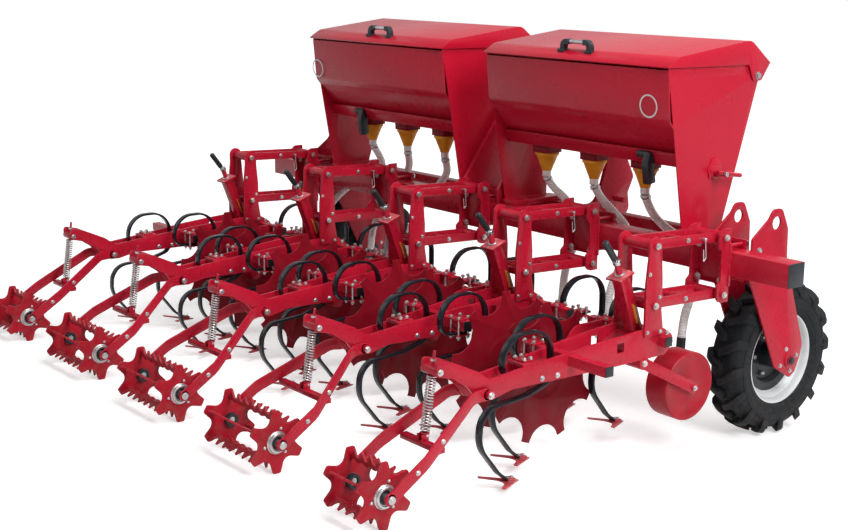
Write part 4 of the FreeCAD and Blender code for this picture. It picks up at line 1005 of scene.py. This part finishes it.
@dataclass
class Unit:
    """One row unit: linkage, beam, tines, discs, gauge wheel, roller and its spring.

    Places are (y, z), and the disc's is (x from the unit's middle, y, z). cross_y and tine_x hold the front
    and the rear value, and tine_path holds corners (y, z, radius) from the clamp.
    """

    number: int
    pitch: float = 0.750
    cheek: float = 0.075
    pivot: Flat = (0.130, 0.950)
    spread: float = 0.239
    low: float = 0.495
    cross_z: float = 0.560
    cross_half: float = 0.020
    cross_y: Flat = (0.190, -0.290)
    front_step: float = 0.140
    tine_x: Flat = (0.230, 0.150)
    rear_tine_y: float = -0.485
    disc: Spot = (0.2905, -0.126, 0.402)
    gauge: Flat = (0.400, 0.320)
    roller: Flat = (-1.205, 0.250)
    roller_r: float = 0.125
    arm_pivot: Flat = (-0.708, 0.505)
    arm_bend: Flat = (-1.065, 0.337)
    arm_thick: float = 0.010
    horn_end: float = -0.933
    mast: tuple[Flat, Flat] = ((0.113, 0.593), (0.023, 0.827))
    tine_path: tuple[Spot, ...] = ((0.055, 0.0, 0.0), (-0.105, 0.0, 0.050), (-0.105, 0.160, 0.105),
                                   (0.140, 0.160, 0.105), (0.140, -0.052, 0.060), (0.020, -0.086, 0.120),
                                   (-0.205, -0.100, 0.090), (-0.214, -0.240, 0.120), (-0.118, -0.362, 0.090),
                                   (-0.066, -0.402, 0.0))

    @property
    def x(self) -> float:
        """The unit's middle."""
        return (self.number - 3) * self.pitch

    @property
    def hands(self) -> tuple[int, ...]:
        """The sides of the unit that carry tines and a disc."""
        return {1: (1,), 5: (-1,)}.get(self.number, BOTH)

    @property
    def roller_half(self) -> float:
        """Half the roller's width."""
        return 0.100 if self.number in (1, 5) else 0.175

    @property
    def body(self) -> str:
        """The body of the beam."""
        return f"unit_{self.number}"

    def make(self, trees: Trees) -> None:
        """Build and dress the unit.

        Args:
            trees: the shared trees.
        """
        softened(f"beam_{self.number}", RED, self.body, 0.0015)
        for level in ("lower", "upper"):
            link = f"{level}_link_{self.number}"
            softened(link, RED, link, 0.0015)
        for hand in self.hands:
            disc = f"shield_disc_{self.number}_{Side(hand).word}"
            softened(disc, DISC_RED, disc, 0.001)
        self.wheel()
        self.clip()
        shares = self.tines()
        self.arm()
        self.spring(trees)
        self.star()
        self.bars(trees)
        self.fittings()
        self.mounts()
        self.bolts(trees, shares)

    def wheel(self) -> None:
        """The gauge wheel: a drum with nearly flat faces and a low hub."""
        node = f"gauge_wheel_{self.number}"
        face = [(0.0126, 0.0558), (0.0325, 0.0558), (0.0345, 0.0520), (0.1160, 0.0520), (0.1240, 0.0556),
                (0.1405, 0.0556), (0.1447, 0.0525)]
        shell = Shell()
        shell.turned(face + [(r, -z) for r, z in reversed(face)], 96, ROLLER_RED,
                     Matrix.Translation((self.x, *self.gauge)) @ SIDEWAYS)
        shell.piece(f"{node}_skin", node, (node,), 0.0012)

    def clip(self) -> None:
        """The lock pin on the upper link with its hanging wire clip."""
        shell = Shell()
        spot = Vector((self.x + 0.060, self.pivot[0] + 0.300, self.pivot[1] - 0.012))
        shell.rod(spot - Vector((0.002, 0, 0)), spot + Vector((0.022, 0, 0)), 0.0065, ZINC, 16)
        hang = ((0, 0), (0.008, -0.078), (-0.006, -0.090), (-0.010, -0.040))
        bends = [spot + Vector((0.017, y, z)) for y, z in hang]
        for start, end in zip(bends, bends[1:]):
            shell.rod(start, end, 0.0021, ZINC, 10, 0.0005)
        shell.piece(f"wire_clip_{self.number}", f"upper_link_{self.number}")

    def tines(self) -> Fasteners:
        """The tines: dark sprung steel with a loop, a share below in light pink that is partly worn paint
        and partly painted sheen, and a clamp seat on top.

        Returns:
            The beam's fasteners, with the bolts of the shares.
        """
        shell = Shell()
        bolts = Fasteners(self.body, f"beam_bolts_{self.number}")
        clamps = [(0.0, self.rear_tine_y, 0.0)]
        for hand in self.hands:
            clamps += [(hand * self.tine_x[1], self.cross_y[1], 0.0),
                       (hand * self.tine_x[0], self.cross_y[0], self.front_step)]
        for across, bar_y, step in clamps:
            self.tine(shell, bolts, self.x + across, bar_y, step)
        shell.piece(f"tines_{self.number}_skin", self.body, (f"tines_{self.number}",), 0.0016)
        return bolts

    def tine(self, shell: Shell, bolts: Fasteners, x: float, bar_y: float, step: float) -> None:
        """One tine.

        Args:
            shell: the mesh that it is drawn in.
            bolts: where its share's bolts are gathered.
            x: its middle.
            bar_y: the crossbar that it hangs from.
            step: how far ahead of the crossbar its clamp is.
        """
        clamp = bar_y + step
        under = self.cross_z - 0.030
        path = [(clamp + y, under - 0.005 + z, radius) for y, z, radius in self.tine_path]
        shell.plate(strip(path, 0.010, 10), x - 0.016, 0.032, SPRING_BLACK)
        shell.block((x - 0.022, bar_y - 0.032, under), (x + 0.022, clamp + 0.032, under + 0.010), RED)
        span, half, tip = 0.080, 0.075, 0.004
        blade = rounded([(0.0, half), (span, 0.008 - half), (span - 0.014, -half, tip),
                         (0.0, half - 0.062, 0.040), (0.014 - span, -half, tip), (-span, 0.008 - half)])
        place = Matrix.Translation((x, clamp - 0.081, 0.1167)) @ Matrix.Rotation(math.radians(-9.0), 4, "X")
        # The share's light pink is partly worn paint and partly painted sheen.
        shell.plate(blade, 0.0, 0.006, SHARE_SHEEN_RED, place @ FLAT)
        shell.block((-0.017, 0.003, 0.002), (0.017, 0.043, 0.018), SHARE_SHEEN_RED, place)
        for y in (0.012, 0.034):
            bolts.put(place @ Vector((0.0, y, 0.018)), place.to_3x3() @ Vector((0, 0, 1)), 0.0065)

    def arm_x(self, y: float) -> float:
        """Unit middle to the inner face of a roller arm at a place along it.

        Args:
            y: the place.

        Returns:
            The distance along X.
        """
        near, far = 0.052, self.roller_half + 0.030
        start, end = self.arm_pivot[0] - 0.040, self.arm_bend[0] + 0.020
        return near + (far - near) * min(max((start - y) / (start - end), 0.0), 1.0)

    def arm(self) -> None:
        """The roller's two bent arms with the tie between them."""
        (py, pz), (by, bz), (ry, rz) = self.arm_pivot, self.arm_bend, self.roller
        shell = Shell()
        turn = (by + 0.020 - (py - 0.080)) / (by - (py - 0.080))
        path = [(py + 0.004, pz), (py - 0.040, pz), (py - 0.080, pz, 0.060),
                (by + 0.020, pz + (bz - pz) * turn), (by, bz), (ry, rz - 0.002)]
        line = strip(path, 0.045)
        half = len(line) // 2
        thick = self.arm_thick
        for hand in BOTH:
            rows = [[Vector((self.x + hand * (self.arm_x(y) + out), y, z))
                     for (y, z), out in ((upper, 0.0), (upper, thick), (lower, thick), (lower, 0.0))]
                    for upper, lower in zip(line[:half], reversed(line[half:]))]
            shell.ribbon(rows, RED)
            for y, z in (self.arm_pivot, self.roller):
                near = self.x + hand * self.arm_x(y)
                shell.rod((near, y, z), (near + hand * thick, y, z), 0.0226, RED, 32, 0.001)
            shell.rod((self.x + hand * 0.061, py, pz), (self.x + hand * 0.0775, py, pz), 0.015, RED, 28,
                      0.001)
            shell.rod((self.x + hand * (self.roller_half - 0.025), ry, rz),
                      (self.x + hand * (self.roller_half + 0.048), ry, rz), 0.0149, ZINC, 24)
        tie_y = self.horn_end - 0.029
        reach = self.arm_x(tie_y) + 0.002
        shell.block((self.x - reach, tie_y - 0.015, 0.352), (self.x + reach, tie_y + 0.015, 0.372), RED)
        for hand in BOTH:
            ear = self.x + hand * 0.013
            shell.block((ear - 0.003, tie_y - 0.012, 0.371), (ear + 0.003, tie_y + 0.018, 0.396), RED)
        shell.piece(f"roller_arm_{self.number}_skin", self.body, (f"roller_arm_{self.number}",), 0.0015)

    def spring(self, trees: Trees) -> None:
        """The rod, cups and coil of the spring that presses the roller down.

        Args:
            trees: the shared trees.
        """
        foot = Vector((self.x, self.horn_end - 0.029, 0.317))
        eye = Vector((self.x, self.horn_end + 0.015, self.low + 0.127))
        line = (eye - foot).normalized()
        seat = (eye - foot).length - 0.020
        start, end = foot + line * 0.082, foot + line * (seat - 0.001)
        shell = Shell()
        shell.rod(foot + line * 0.040, foot + line * (seat + 0.090), 0.0055, RED)
        shell.rod(start - line * 0.003, start, 0.0185, RED, 28)
        shell.rod(end - line * 0.004, end, 0.0185, ZINC, 28)
        eyelet = foot + line * 0.072
        shell.rod(eyelet - Vector((0.019, 0, 0)), eyelet + Vector((0.019, 0, 0)), 0.005, ZINC, 16)
        shell.nut(0.0105, 0.008, ZINC, Matrix.Translation(foot + line * (seat + 0.052)) @ facing(line))
        shell.piece(f"spring_rod_{self.number}", self.body)
        name = f"spring_{self.number}"
        seed = placed(f"{name}_seed", bpy.data.meshes.new(name))
        made = grow(name, seed, trees.coil, Turns=18.0, Radius=0.0155, Wire=0.0031,
                    Length=(end - start).length - 0.010)
        made.data.transform(STANCE @ Matrix.Translation(start + line * 0.003) @ facing(line))
        settle(made, self.body)

    def star(self) -> None:
        """The star roller's two lobed plates with their bearings."""
        half, radius = self.roller_half, self.roller_r
        place = Matrix.Translation((self.x, *self.roller))
        flank = 7.5
        tip = 0.9975 * radius / math.cos(math.radians(flank))
        corners = ((-flank, tip, 0.009), (flank, tip, 0.009), (30.0, 0.55 * radius, 0.030))
        outline = []
        for lobe in range(6):
            for offset, reach, bend in corners:
                angle = math.radians(60 * lobe + offset)
                outline.append((reach * math.sin(angle), reach * math.cos(angle), bend))
        shell = Shell()
        for hand in BOTH:
            inner = min(hand * half, hand * (half - 0.008))
            shell.plate(rounded(outline, 5), inner, 0.008, ROLLER_RED, place)
            turn = SIDEWAYS if hand > 0 else SIDEWAYS.inverted()
            flip = place @ Matrix.Translation((hand * half, 0, 0)) @ turn
            shell.turned([(0.026, -0.001), (0.045, -0.001), (0.045, 0.004), (0.041, 0.006), (0.039, 0.014),
                          (0.031, 0.016), (0.029, 0.009), (0.026, 0.009)], 40, ZINC, flip)
            shell.turned([(0.0155, -0.030), (0.028, -0.030), (0.028, 0.0), (0.027, 0.006),
                          (0.0155, 0.007)], 32, PLASTIC, flip)
            for stud in range(3):
                angle = math.radians(120 * stud + 40)
                spot = Matrix.Translation((0.056 * math.cos(angle), 0.056 * math.sin(angle), 0.0))
                shell.turned([(0.0, -0.001), (0.007, -0.001), (0.007, 0.004), (0.004, 0.007),
                              (0.0, 0.007)], 6, ZINC, flip @ spot)
        body = f"star_roller_{self.number}"
        shell.piece(f"star_plates_{self.number}", body, (body,), 0.0012)

    def bars(self, trees: Trees) -> None:
        """The star roller's toothed bars, drawn as one and repeated round its axle.

        Args:
            trees: the shared trees.
        """
        half, radius = self.roller_half, self.roller_r
        teeth = 4 if half < 0.15 else 7
        pitch = 2 * (half - 0.006) / teeth
        starts = [0.006 - half + tooth * pitch for tooth in range(teeth)]
        outer = ((0.06, 0.77), (0.24, 0.82), (0.44, 0.988), (0.56, 0.988), (0.76, 0.82), (0.94, 0.77))
        inner = ((0.8, 0.63), (0.65, 0.67), (0.35, 0.67), (0.2, 0.63))
        edge = [(0.004 - half, 0.63 * radius)]
        edge += [(left + pitch * t, r * radius) for left in starts for t, r in outer]
        edge.append((half - 0.004, 0.63 * radius))
        edge += [(left + pitch * t, r * radius) for left in reversed(starts) for t, r in inner]
        bar = Shell()
        bar.plate(edge, -0.004, 0.008, ROLLER_RED, CROSS)
        bar.ring(f"star_bars_{self.number}", f"star_roller_{self.number}", trees.bars, 6, 0.0,
                 (self.x, *self.roller), 0.0008)

    def fittings(self) -> None:
        """The crossbars' caps, the depth crank with its grip, and the depth scale."""
        shell = Shell()
        cap = 0.0195
        for y, full, short in ((self.cross_y[0], 0.312, 0.115), (self.cross_y[1], 0.200, 0.255)):
            for hand in BOTH:
                near = self.x + hand * (full if hand in self.hands else short)
                low, high = sorted((near, near + hand * 0.004))
                shell.block((low, y - cap, self.cross_z - cap), (high, y + cap, self.cross_z + cap), PLASTIC)
        foot, head = (Vector((self.x, *spot)) for spot in self.mast)
        lean = (head - foot).normalized()
        upright = facing(lean, "X")
        crown = Matrix.Translation(head) @ upright
        shell.block((-0.041, -0.041, 0.0082), (0.041, 0.041, 0.0092), SHARE_SHEEN_RED, crown)
        shell.rod(head + lean * 0.009, head + lean * 0.016, 0.021, ZINC, 24)
        grip = head + lean * 0.060
        back = (Vector((0.0, -0.48, 0.16)) + lean).normalized()
        shell.rod(grip - lean * 0.004, grip + lean * 0.014, 0.017, STEEL, 24)
        shell.rod(grip, grip + back * 0.030, 0.0075, STEEL, 16)
        shell.rod(grip + back * 0.020, grip + back * 0.118, 0.0135, PLASTIC, 24, 0.004)
        scale = Matrix.Translation(foot + lean * 0.045 + Vector((0.0262, 0.0, 0.0))) @ upright
        shell.block((-0.010, -0.001, 0.0), (0.010, 0.0008, 0.085), SCALE_YELLOW,
                    scale @ Matrix.Rotation(math.pi / 2, 4, "Z"))
        shell.piece(f"fittings_{self.number}", self.body, (), 0.0008)

    def mounts(self) -> None:
        """The clamps that hold the tines to the crossbars and the beam."""
        shell = Shell()
        wide, narrow = 0.0245, 0.016
        for hand in self.hands:
            self.clamp(shell, self.x + hand * self.tine_x[1], self.cross_y[1], wide)
            front = self.x + hand * self.tine_x[0]
            self.clamp(shell, front, self.cross_y[0], wide)
            self.clamp(shell, front, self.cross_y[0] + self.front_step, narrow, top=False)
        self.clamp(shell, self.x, self.rear_tine_y, narrow)
        shell.piece(f"tine_clamps_{self.number}", self.body, (), 0.0008)

    def clamp(self, shell: Shell, x: float, y: float, reach: float, top: bool = True) -> None:
        """Four studs with nuts that hold a tine under its crossbar, and the plates that they pull together.

        Args:
            shell: the mesh that they are drawn in.
            x: the tine's middle.
            y: the middle of the clamp.
            reach: how far the studs stand from the middle.
            top: whether there is a plate on the crossbar.
        """
        high = self.cross_z + (self.cross_half if top else -self.cross_half)
        low = self.cross_z - 0.041
        wide, long = 0.033, reach + 0.009
        for start, end in ((high, high + 0.006), (low - 0.005, low))[not top:]:
            shell.block((x - wide, y - long, start), (x + wide, y + long, end), RED)
        for side in BOTH:
            for ahead in BOTH:
                spot = Vector((x + side * 0.0250, y + ahead * reach, 0.0))
                foot = spot + Vector((0, 0, low - 0.022))
                shell.rod(foot, spot + Vector((0, 0, high + 0.018)), 0.0045, ZINC, 12)
                for height in (low - 0.014, high + 0.006):
                    shell.nut(0.0090, 0.009, ZINC, Matrix.Translation(spot + Vector((0, 0, height))))

    def bolts(self, trees: Trees, beam: Fasteners) -> None:
        """Bolt heads on the beam, the links and the roller's arms.

        Args:
            trees: the shared trees.
            beam: the beam's fasteners, with the bolts of the shares.
        """
        x, (py, pz) = self.x, self.pivot
        pairs = [(self.cheek + 0.0202, (py, z), 0.0105) for z in (pz, pz - self.spread)]
        pairs += [(self.cheek + 0.0102, spot, 0.0065)
                  for spot in ((0.098, 0.606), (0.172, 0.600), (0.100, 0.840), (0.160, 0.742))]
        pairs += [(self.cheek + 0.0002, spot, 0.0075) for spot in ((0.225, 0.585), (0.250, 0.545))]
        pairs += [(0.0530, (-0.435, 0.512), 0.0085), (0.0575, (-0.360, 0.512), 0.0085),
                  (0.0780, self.arm_pivot, 0.0105), (0.0755, (0.100, 0.477), 0.0105),
                  (0.0452, (self.horn_end + 0.015, self.low + 0.127), 0.0095)]
        on_arm = ((*self.roller, 0.0115), (-0.962, 0.3995, 0.0075), (-1.090, 0.3205, 0.0075))
        pairs += [(self.arm_x(y) + self.arm_thick + 0.0002, (y, z), size) for y, z, size in on_arm]
        for half, spot, size in pairs:
            beam.both(half, (x, *spot), size)
        beam.put((x + 0.0862, *self.gauge), (1, 0, 0), 0.009)
        for hand in self.hands:
            beam.put((x + hand * self.disc[0], *self.disc[1:]), (hand, 0, 0), 0.013)
        beam.make(trees.heads)
        for level, z in (("upper", pz), ("lower", pz - self.spread)):
            link = Fasteners(f"{level}_link_{self.number}", f"{level}_link_bolts_{self.number}")
            link.both(0.0602, (x, py + 0.2145, z - 0.0083), 0.0085)
            link.make(trees.heads)


# ---- drive wheels --------------------------------------------------------------------------------

@dataclass
class DriveWheel:
    """A lugged tyre on a dished rim, between two fork plates."""

    side: Side
    x: float = 1.512
    spot: Flat = (0.974, 0.345)
    outer: float = 0.345
    bead: float = 0.202
    half: float = 0.085
    lug: float = 0.027
    count: int = 16

    @property
    def body(self) -> str:
        """The body of the wheel."""
        return f"drive_wheel_{self.side.word}"

    @property
    def centre(self) -> Spot:
        """The wheel's middle."""
        return (self.side.value * self.x, *self.spot)

    @property
    def outward(self) -> Matrix:
        """The turn that points the Z axis to the outer side."""
        return Matrix.Rotation(self.side.value * math.pi / 2, 4, "Y")

    def make(self, trees: Trees) -> None:
        """Build and dress the wheel.

        Args:
            trees: the shared trees.
        """
        self.tyre()
        for hand, word in ((-1, "inner"), (1, "outer")):
            self.lug_shape(hand).ring(f"lugs_{self.side.word}_{word}", self.body, trees.lugs, self.count,
                                      math.pi / self.count * (hand > 0), self.centre, 0.0015)
        self.rim()
        nut = Shell()
        nut.turned([(0.0, -0.017), (0.011, -0.017), (0.011, -0.005), (0.006, 0.001), (0.0, 0.001)], 6, ZINC,
                   Matrix.Translation((0.0, 0.0, 0.086)) @ self.outward)
        nut.ring(f"rim_nuts_{self.side.word}", self.body, trees.rim_nuts, 5, 0.3, self.centre)

    def tyre(self) -> None:
        """The tyre's carcass with two raised rings on each wall."""
        place = Matrix.Translation(self.centre) @ self.outward
        shell = Shell()
        deep, h, b = self.outer - self.lug, self.half, self.bead
        wall = [(b, 0.022 - h), (b + 0.008, 0.014 - h), (b + 0.020, 0.008 - h), (b + 0.040, 0.002 - h),
                (b + 0.065, 0.001 - h), (b + 0.088, 0.008 - h), (deep - 0.016, 0.016 - h),
                (deep - 0.005, 0.030 - h), (deep, 0.055 - h)]
        shell.turned(wall + [(deep, 0.0)] + [(r, -z) for r, z in reversed(wall)], 96, RUBBER, place)
        ridge = ((-0.003, -0.003), (0.003, -0.003), (0.0015, 0.0010), (-0.0015, 0.0010))
        for radius, flat in ((b + 0.030, h - 0.0045), (b + 0.072, h - 0.0015)):
            for face in BOTH:
                ring = [(radius + out, face * (flat + rise)) for out, rise in ridge]
                shell.turned(ring, 96, RUBBER, place)
        shell.piece(f"tyre_{self.side.word}", self.body, (f"wheel_tyre_{self.side.word}",))

    def lug_shape(self, hand: int) -> Shell:
        """One tread lug, from the tread's middle over the shoulder.

        Args:
            hand: which side of the tread it is on.

        Returns:
            The lug, drawn about the X axis.
        """
        outer, deep = self.outer, self.outer - self.lug
        # Along the lug: X, its turn about the axle, the radius of its top and foot, and half its width.
        track = ((-0.008, 0.000, outer, deep - 0.004, 0.0165), (0.016, 0.034, outer, deep - 0.004, 0.0165),
                 (0.036, 0.072, outer - 0.0005, deep - 0.004, 0.0175),
                 (0.055, 0.114, outer - 0.003, deep - 0.006, 0.0190),
                 (0.072, 0.152, outer - 0.010, deep - 0.016, 0.0200),
                 (0.0825, 0.172, outer - 0.028, deep - 0.030, 0.0190),
                 (0.0845, 0.182, outer - 0.066, outer - 0.080, 0.0140))
        rows = []
        for x, angle, top, low, wide in track:
            turns = [(radius, angle + spread / outer) for radius, spread in
                     ((low, wide * 1.18), (top, wide), (top, -wide), (low, -wide * 1.18))]
            rows.append([Vector((hand * x, r * math.sin(turn), r * math.cos(turn))) for r, turn in turns])
        shell = Shell()
        shell.ribbon(rows, RUBBER)
        return shell

    def rim(self) -> None:
        """The white rim with its dish drawn dark as painted shade inside the rim's bowl, and its dark hub.
        """
        place = Matrix.Translation(self.centre) @ self.outward
        shell = Shell()
        h, b = self.half - 0.022, self.bead
        shell.turned([(b + 0.0015, -h - 0.002), (b + 0.0015, 0.004 - h), (b - 0.006, 0.010 - h),
                      (b - 0.010, 0.024 - h), (b - 0.026, 0.034 - h), (b - 0.026, h - 0.034),
                      (b - 0.010, h - 0.024), (b - 0.006, h - 0.010), (b + 0.0015, h - 0.004),
                      (b + 0.0015, h + 0.002), (b - 0.004, h + 0.002), (b - 0.012, h - 0.012),
                      (b - 0.016, h - 0.028), (b - 0.032, h - 0.040), (b - 0.038, 0.012), (b - 0.042, 0.010),
                      (b - 0.042, 0.000), (b - 0.036, -0.004), (b - 0.032, 0.040 - h),
                      (b - 0.016, 0.028 - h), (b - 0.012, 0.012 - h), (b - 0.004, -h - 0.002)],
                     96, RIM_WHITE, place)
        # Painted shade: the dish is drawn in black plastic to stand for the shade inside the rim's bowl.
        shell.turned([(b - 0.041, 0.001), (b - 0.041, 0.009), (0.124, 0.009), (0.110, -0.016),
                      (0.062, -0.016), (0.050, -0.016), (0.050, -0.024), (0.114, -0.024), (0.128, 0.001)],
                     72, PLASTIC, place)
        shell.turned([(0.0202, -0.062), (0.050, -0.062), (0.052, -0.050), (0.050, 0.058), (0.044, 0.064),
                      (0.0202, 0.066)], 48, PLASTIC, place)
        shell.piece(f"rim_{self.side.word}", self.body, (f"wheel_rim_{self.side.word}",), 0.0006)


@dataclass
class Forks:
    """The drive wheels' fork plates with their bolts."""

    x: float = 1.512
    plate_x: float = 0.105
    axle: Flat = (0.974, 0.345)
    small: tuple[Flat, ...] = ((0.954, 0.397), (1.028, 0.359), (0.918, 0.329), (0.988, 0.294))
    large: tuple[Flat, ...] = ((0.725, 0.86), (0.725, 0.78))

    def make(self, trees: Trees) -> None:
        """Dress the forks.

        Args:
            trees: the shared trees.
        """
        softened("wheel_forks", RED, ROOT, 0.002)
        bolts = Fasteners(ROOT, "fork_bolts")
        axles = Fasteners(ROOT, "fork_axle_ends")
        for hand in BOTH:
            for spots, size in ((self.small, 0.0075), (self.large, 0.011)):
                for spot in spots:
                    bolts.both(self.plate_x + 0.0002, (hand * self.x, *spot), size)
            axles.both(self.plate_x + 0.0102, (hand * self.x, *self.axle), 0.017)
        bolts.make(trees.heads)
        axles.make(trees.caps)


# ---- hoppers -------------------------------------------------------------------------------------

@dataclass
class Hopper:
    """A seed hopper: bin, lid with its handle, trough channel, gate lever, drive flange and sign."""

    side: Side
    inner: float = 0.165
    outer: float = 1.300
    outlet_y: float = 0.679
    trough_z: float = 1.215
    hinge: Flat = (1.043, 1.547)
    shaft: Flat = (0.797, 1.143)
    channel: tuple[Flat, ...] = ((0.086, 0.020), (0.064, -0.040), (0.060, -0.040), (0.060, -0.002))
    crown_edge: tuple[Spot, ...] = ((0.480, 1.592, 0.0), (0.478, 1.600, 0.0), (0.545, 1.634, 0.0),
                                    (0.985, 1.688, 0.040), (1.072, 1.606, 0.0), (1.072, 1.560, 0.0))

    def make(self, trees: Trees) -> None:
        """Build and dress the hopper.

        Args:
            trees: the shared trees.
        """
        softened(f"hopper_{self.side.word}", HOPPER_RED, ROOT, 0.0015)
        self.lid()
        self.crown()
        self.sign()
        if self.side is Side.RIGHT:
            self.flange()
        self.lever()
        self.handle()
        ends = Fasteners(ROOT, f"hinge_nuts_{self.side.word}")
        for x, aim in ((self.outer + 0.0116, 1), (self.inner - 0.0116, -1)):
            ends.put((self.side.value * x, *self.hinge), (self.side.value * aim, 0, 0), 0.0135)
        ends.make(trees.heads)

    def lid(self) -> None:
        """The folded lid, without the plain rod that stands for its handle."""
        node = f"hopper_lid_{self.side.word}"
        work = merged(node)
        level = STANCE.inverted()
        front, (foot_y, foot_z), slope = (0.490, 0.520), (0.465, 1.6055), 0.603
        gone = [face for face in work.faces
                if all(front[0] < spot.y < front[1] and spot.z > foot_z + (spot.y - foot_y) * slope
                       for spot in (level @ corner.co for corner in face.verts))]
        bmesh.ops.delete(work, geom=gone, context="FACES")
        bmesh.ops.holes_fill(work, edges=[edge for edge in work.edges if edge.is_boundary], sides=200)
        softened(node, HOPPER_RED, f"lid_{self.side.word}", 0.002, work)

    def crown(self) -> None:
        """The upper edge of each side panel, which rises under the closed lid, and the trough's channel."""
        shell = Shell()
        for start in (self.inner, self.outer - 0.005):
            low = start if self.side is Side.RIGHT else -start - 0.005
            shell.plate(rounded(list(self.crown_edge)), low + 0.0004, 0.0042, HOPPER_RED)
        y, z = self.outlet_y, self.trough_z
        low, high = sorted((self.side.value * (self.inner + 0.006), self.side.value * (self.outer - 0.006)))
        walls = [(y - a, z + b) for a, b in self.channel]
        walls += [(y + a, z + b) for a, b in reversed(self.channel)]
        shell.plate(walls, low, high - low, HOPPER_RED)
        shell.piece(f"hopper_crown_{self.side.word}", ROOT, (), 0.0008)

    def sign(self) -> None:
        """The blank round sign on the bin's rear face."""
        shell = Shell()
        x = 1.189 if self.side is Side.RIGHT else -1.268
        tilt = Matrix.Rotation(math.atan2(0.020, 0.216), 4, "X")
        place = Matrix.Translation((x, 0.4868, 1.438)) @ tilt @ Matrix.Rotation(math.pi / 2, 4, "X")
        shell.turned([(0.043, 0.0), (0.050, 0.0), (0.050, 0.0012), (0.043, 0.0012)], 48, SIGN_WHITE, place)
        shell.piece(f"ring_sign_{self.side.word}", ROOT)

    def flange(self) -> None:
        """The drive shaft's flange on the outer side panel, with its hand pin."""
        shell = Shell()
        x, (y, z) = self.outer, self.shaft
        shell.turned([(0.0, 0.0), (0.030, 0.0), (0.030, 0.008), (0.018, 0.010), (0.018, 0.034),
                      (0.0, 0.034)], 32, RED, Matrix.Translation((x, y, z)) @ SIDEWAYS)
        shell.plate([(0.762, 1.120), (0.832, 1.120), (0.842, 1.160), (0.816, 1.205), (0.778, 1.205),
                     (0.752, 1.160)], x, 0.006, HOPPER_RED)
        shell.rod((x + 0.030, y, z), (x + 0.075, y, z), 0.011, STEEL, 24)
        shell.rod((x + 0.045, 0.770, 1.150), (x + 0.058, 0.905, 1.128), 0.010, RED)
        shell.piece("drive_flange", ROOT, (), 0.001)

    def lever(self) -> None:
        """The black gate lever beside the outer outlet."""
        shell = Shell()
        x = self.side.value * 1.05
        shell.rod((x - 0.010, 0.602, 1.214), (x + 0.060, 0.600, 1.214), 0.019, PLASTIC, 24, 0.003)
        grip = strip([(0.600, 1.222), (0.588, 1.170, 0.050), (0.602, 1.090)], 0.042)
        shell.plate(grip, x + 0.040, 0.036, PLASTIC)
        shell.piece(f"gate_lever_{self.side.word}", ROOT, (), 0.0015)

    def handle(self) -> None:
        """The black arched handle on the lid."""
        middle = 0.720 if self.side is Side.RIGHT else -0.735
        shell = Shell()
        turn = Matrix.Translation((middle, 0.5225, 1.642)) @ Matrix.Rotation(math.pi / 2, 4, "Z")
        for hand in BOTH:
            elbow = [(hand * 0.084, -0.012), (hand * 0.080, 0.036, 0.020), (hand * 0.046, 0.038)]
            shell.plate(strip(elbow, 0.024), -0.014, 0.028, PLASTIC, turn)
            foot = middle + hand * 0.085
            shell.block((foot - 0.020, 0.504, 1.632), (foot + 0.020, 0.541, 1.646), PLASTIC)
        shell.rod((middle - 0.050, 0.5225, 1.680), (middle + 0.050, 0.5225, 1.680), 0.0095, STEEL, 24)
        shell.piece(f"lid_handle_{self.side.word}", f"lid_{self.side.word}", (), 0.003)


@dataclass
class Metering:
    """The metering boxes and their flared funnels."""

    y: float = 0.679
    trough_z: float = 1.215
    low: float = 1.030
    box: Flat = (0.046, 0.050)
    outlets: tuple[float, ...] = (0.385, 0.700, 1.015)

    def make(self, trees: Trees) -> None:
        """Build and dress every box and funnel.

        Args:
            trees: the shared trees.
        """
        shell = Shell()
        bolts = Fasteners(ROOT, "metering_screws")
        y, (wide, deep) = self.y, self.box
        top, mid = self.trough_z - 0.003, self.trough_z - 0.075
        drum, tall = mid + 0.038, mid - self.low
        for x in (hand * outlet for hand in BOTH for outlet in self.outlets):
            shell.block((x - wide, y - deep, mid), (x + wide, y + deep, mid + 0.030), DISC_RED)
            shell.rod((x - 0.050, y, drum), (x + 0.050, y, drum), 0.052, DISC_RED, 40, 0.004)
            shell.block((x - 0.060, y - 0.058, top - 0.012), (x + 0.060, y + 0.058, top), RED)
            shell.rod((x - 0.056, y, drum), (x + 0.056, y, drum), 0.018, PLASTIC, 20, 0.002)
            place = Matrix.Translation((x, y, self.low))
            shell.turned([(0.0185, -0.006), (0.0205, -0.006), (0.0215, 0.030), (0.0185, 0.030)], 28,
                         HOSE_GREY, place)
            shell.turned([(0.0215, 0.022), (0.0245, 0.022), (0.0255, 0.030), (0.052, tall - 0.014),
                          (0.057, tall - 0.012), (0.057, tall), (0.048, tall), (0.0215, 0.032)],
                         40, FUNNEL_YELLOW, place)
            for side in BOTH:
                bolts.put((x + side * 0.048, y - 0.0582, top - 0.025), (0, -1, 0), 0.006)
        shell.piece("metering_skin", ROOT, ("metering",), 0.002)
        bolts.make(trees.heads)


def main() -> None:
    """Build the studio and every sub-assembly in order, and note the sizes."""
    logging.basicConfig(level=logging.INFO, format="%(message)s")
    trees = Trees()
    Studio().make()
    Hoses().make(trees)
    Toolbar().make(trees)
    for number in range(1, 6):
        Unit(number).make(trees)
    for side in Side:
        DriveWheel(side).make(trees)
        Hopper(side).make(trees)
    Forks().make(trees)
    Metering().make(trees)


if __name__ == "__main__":
    main()
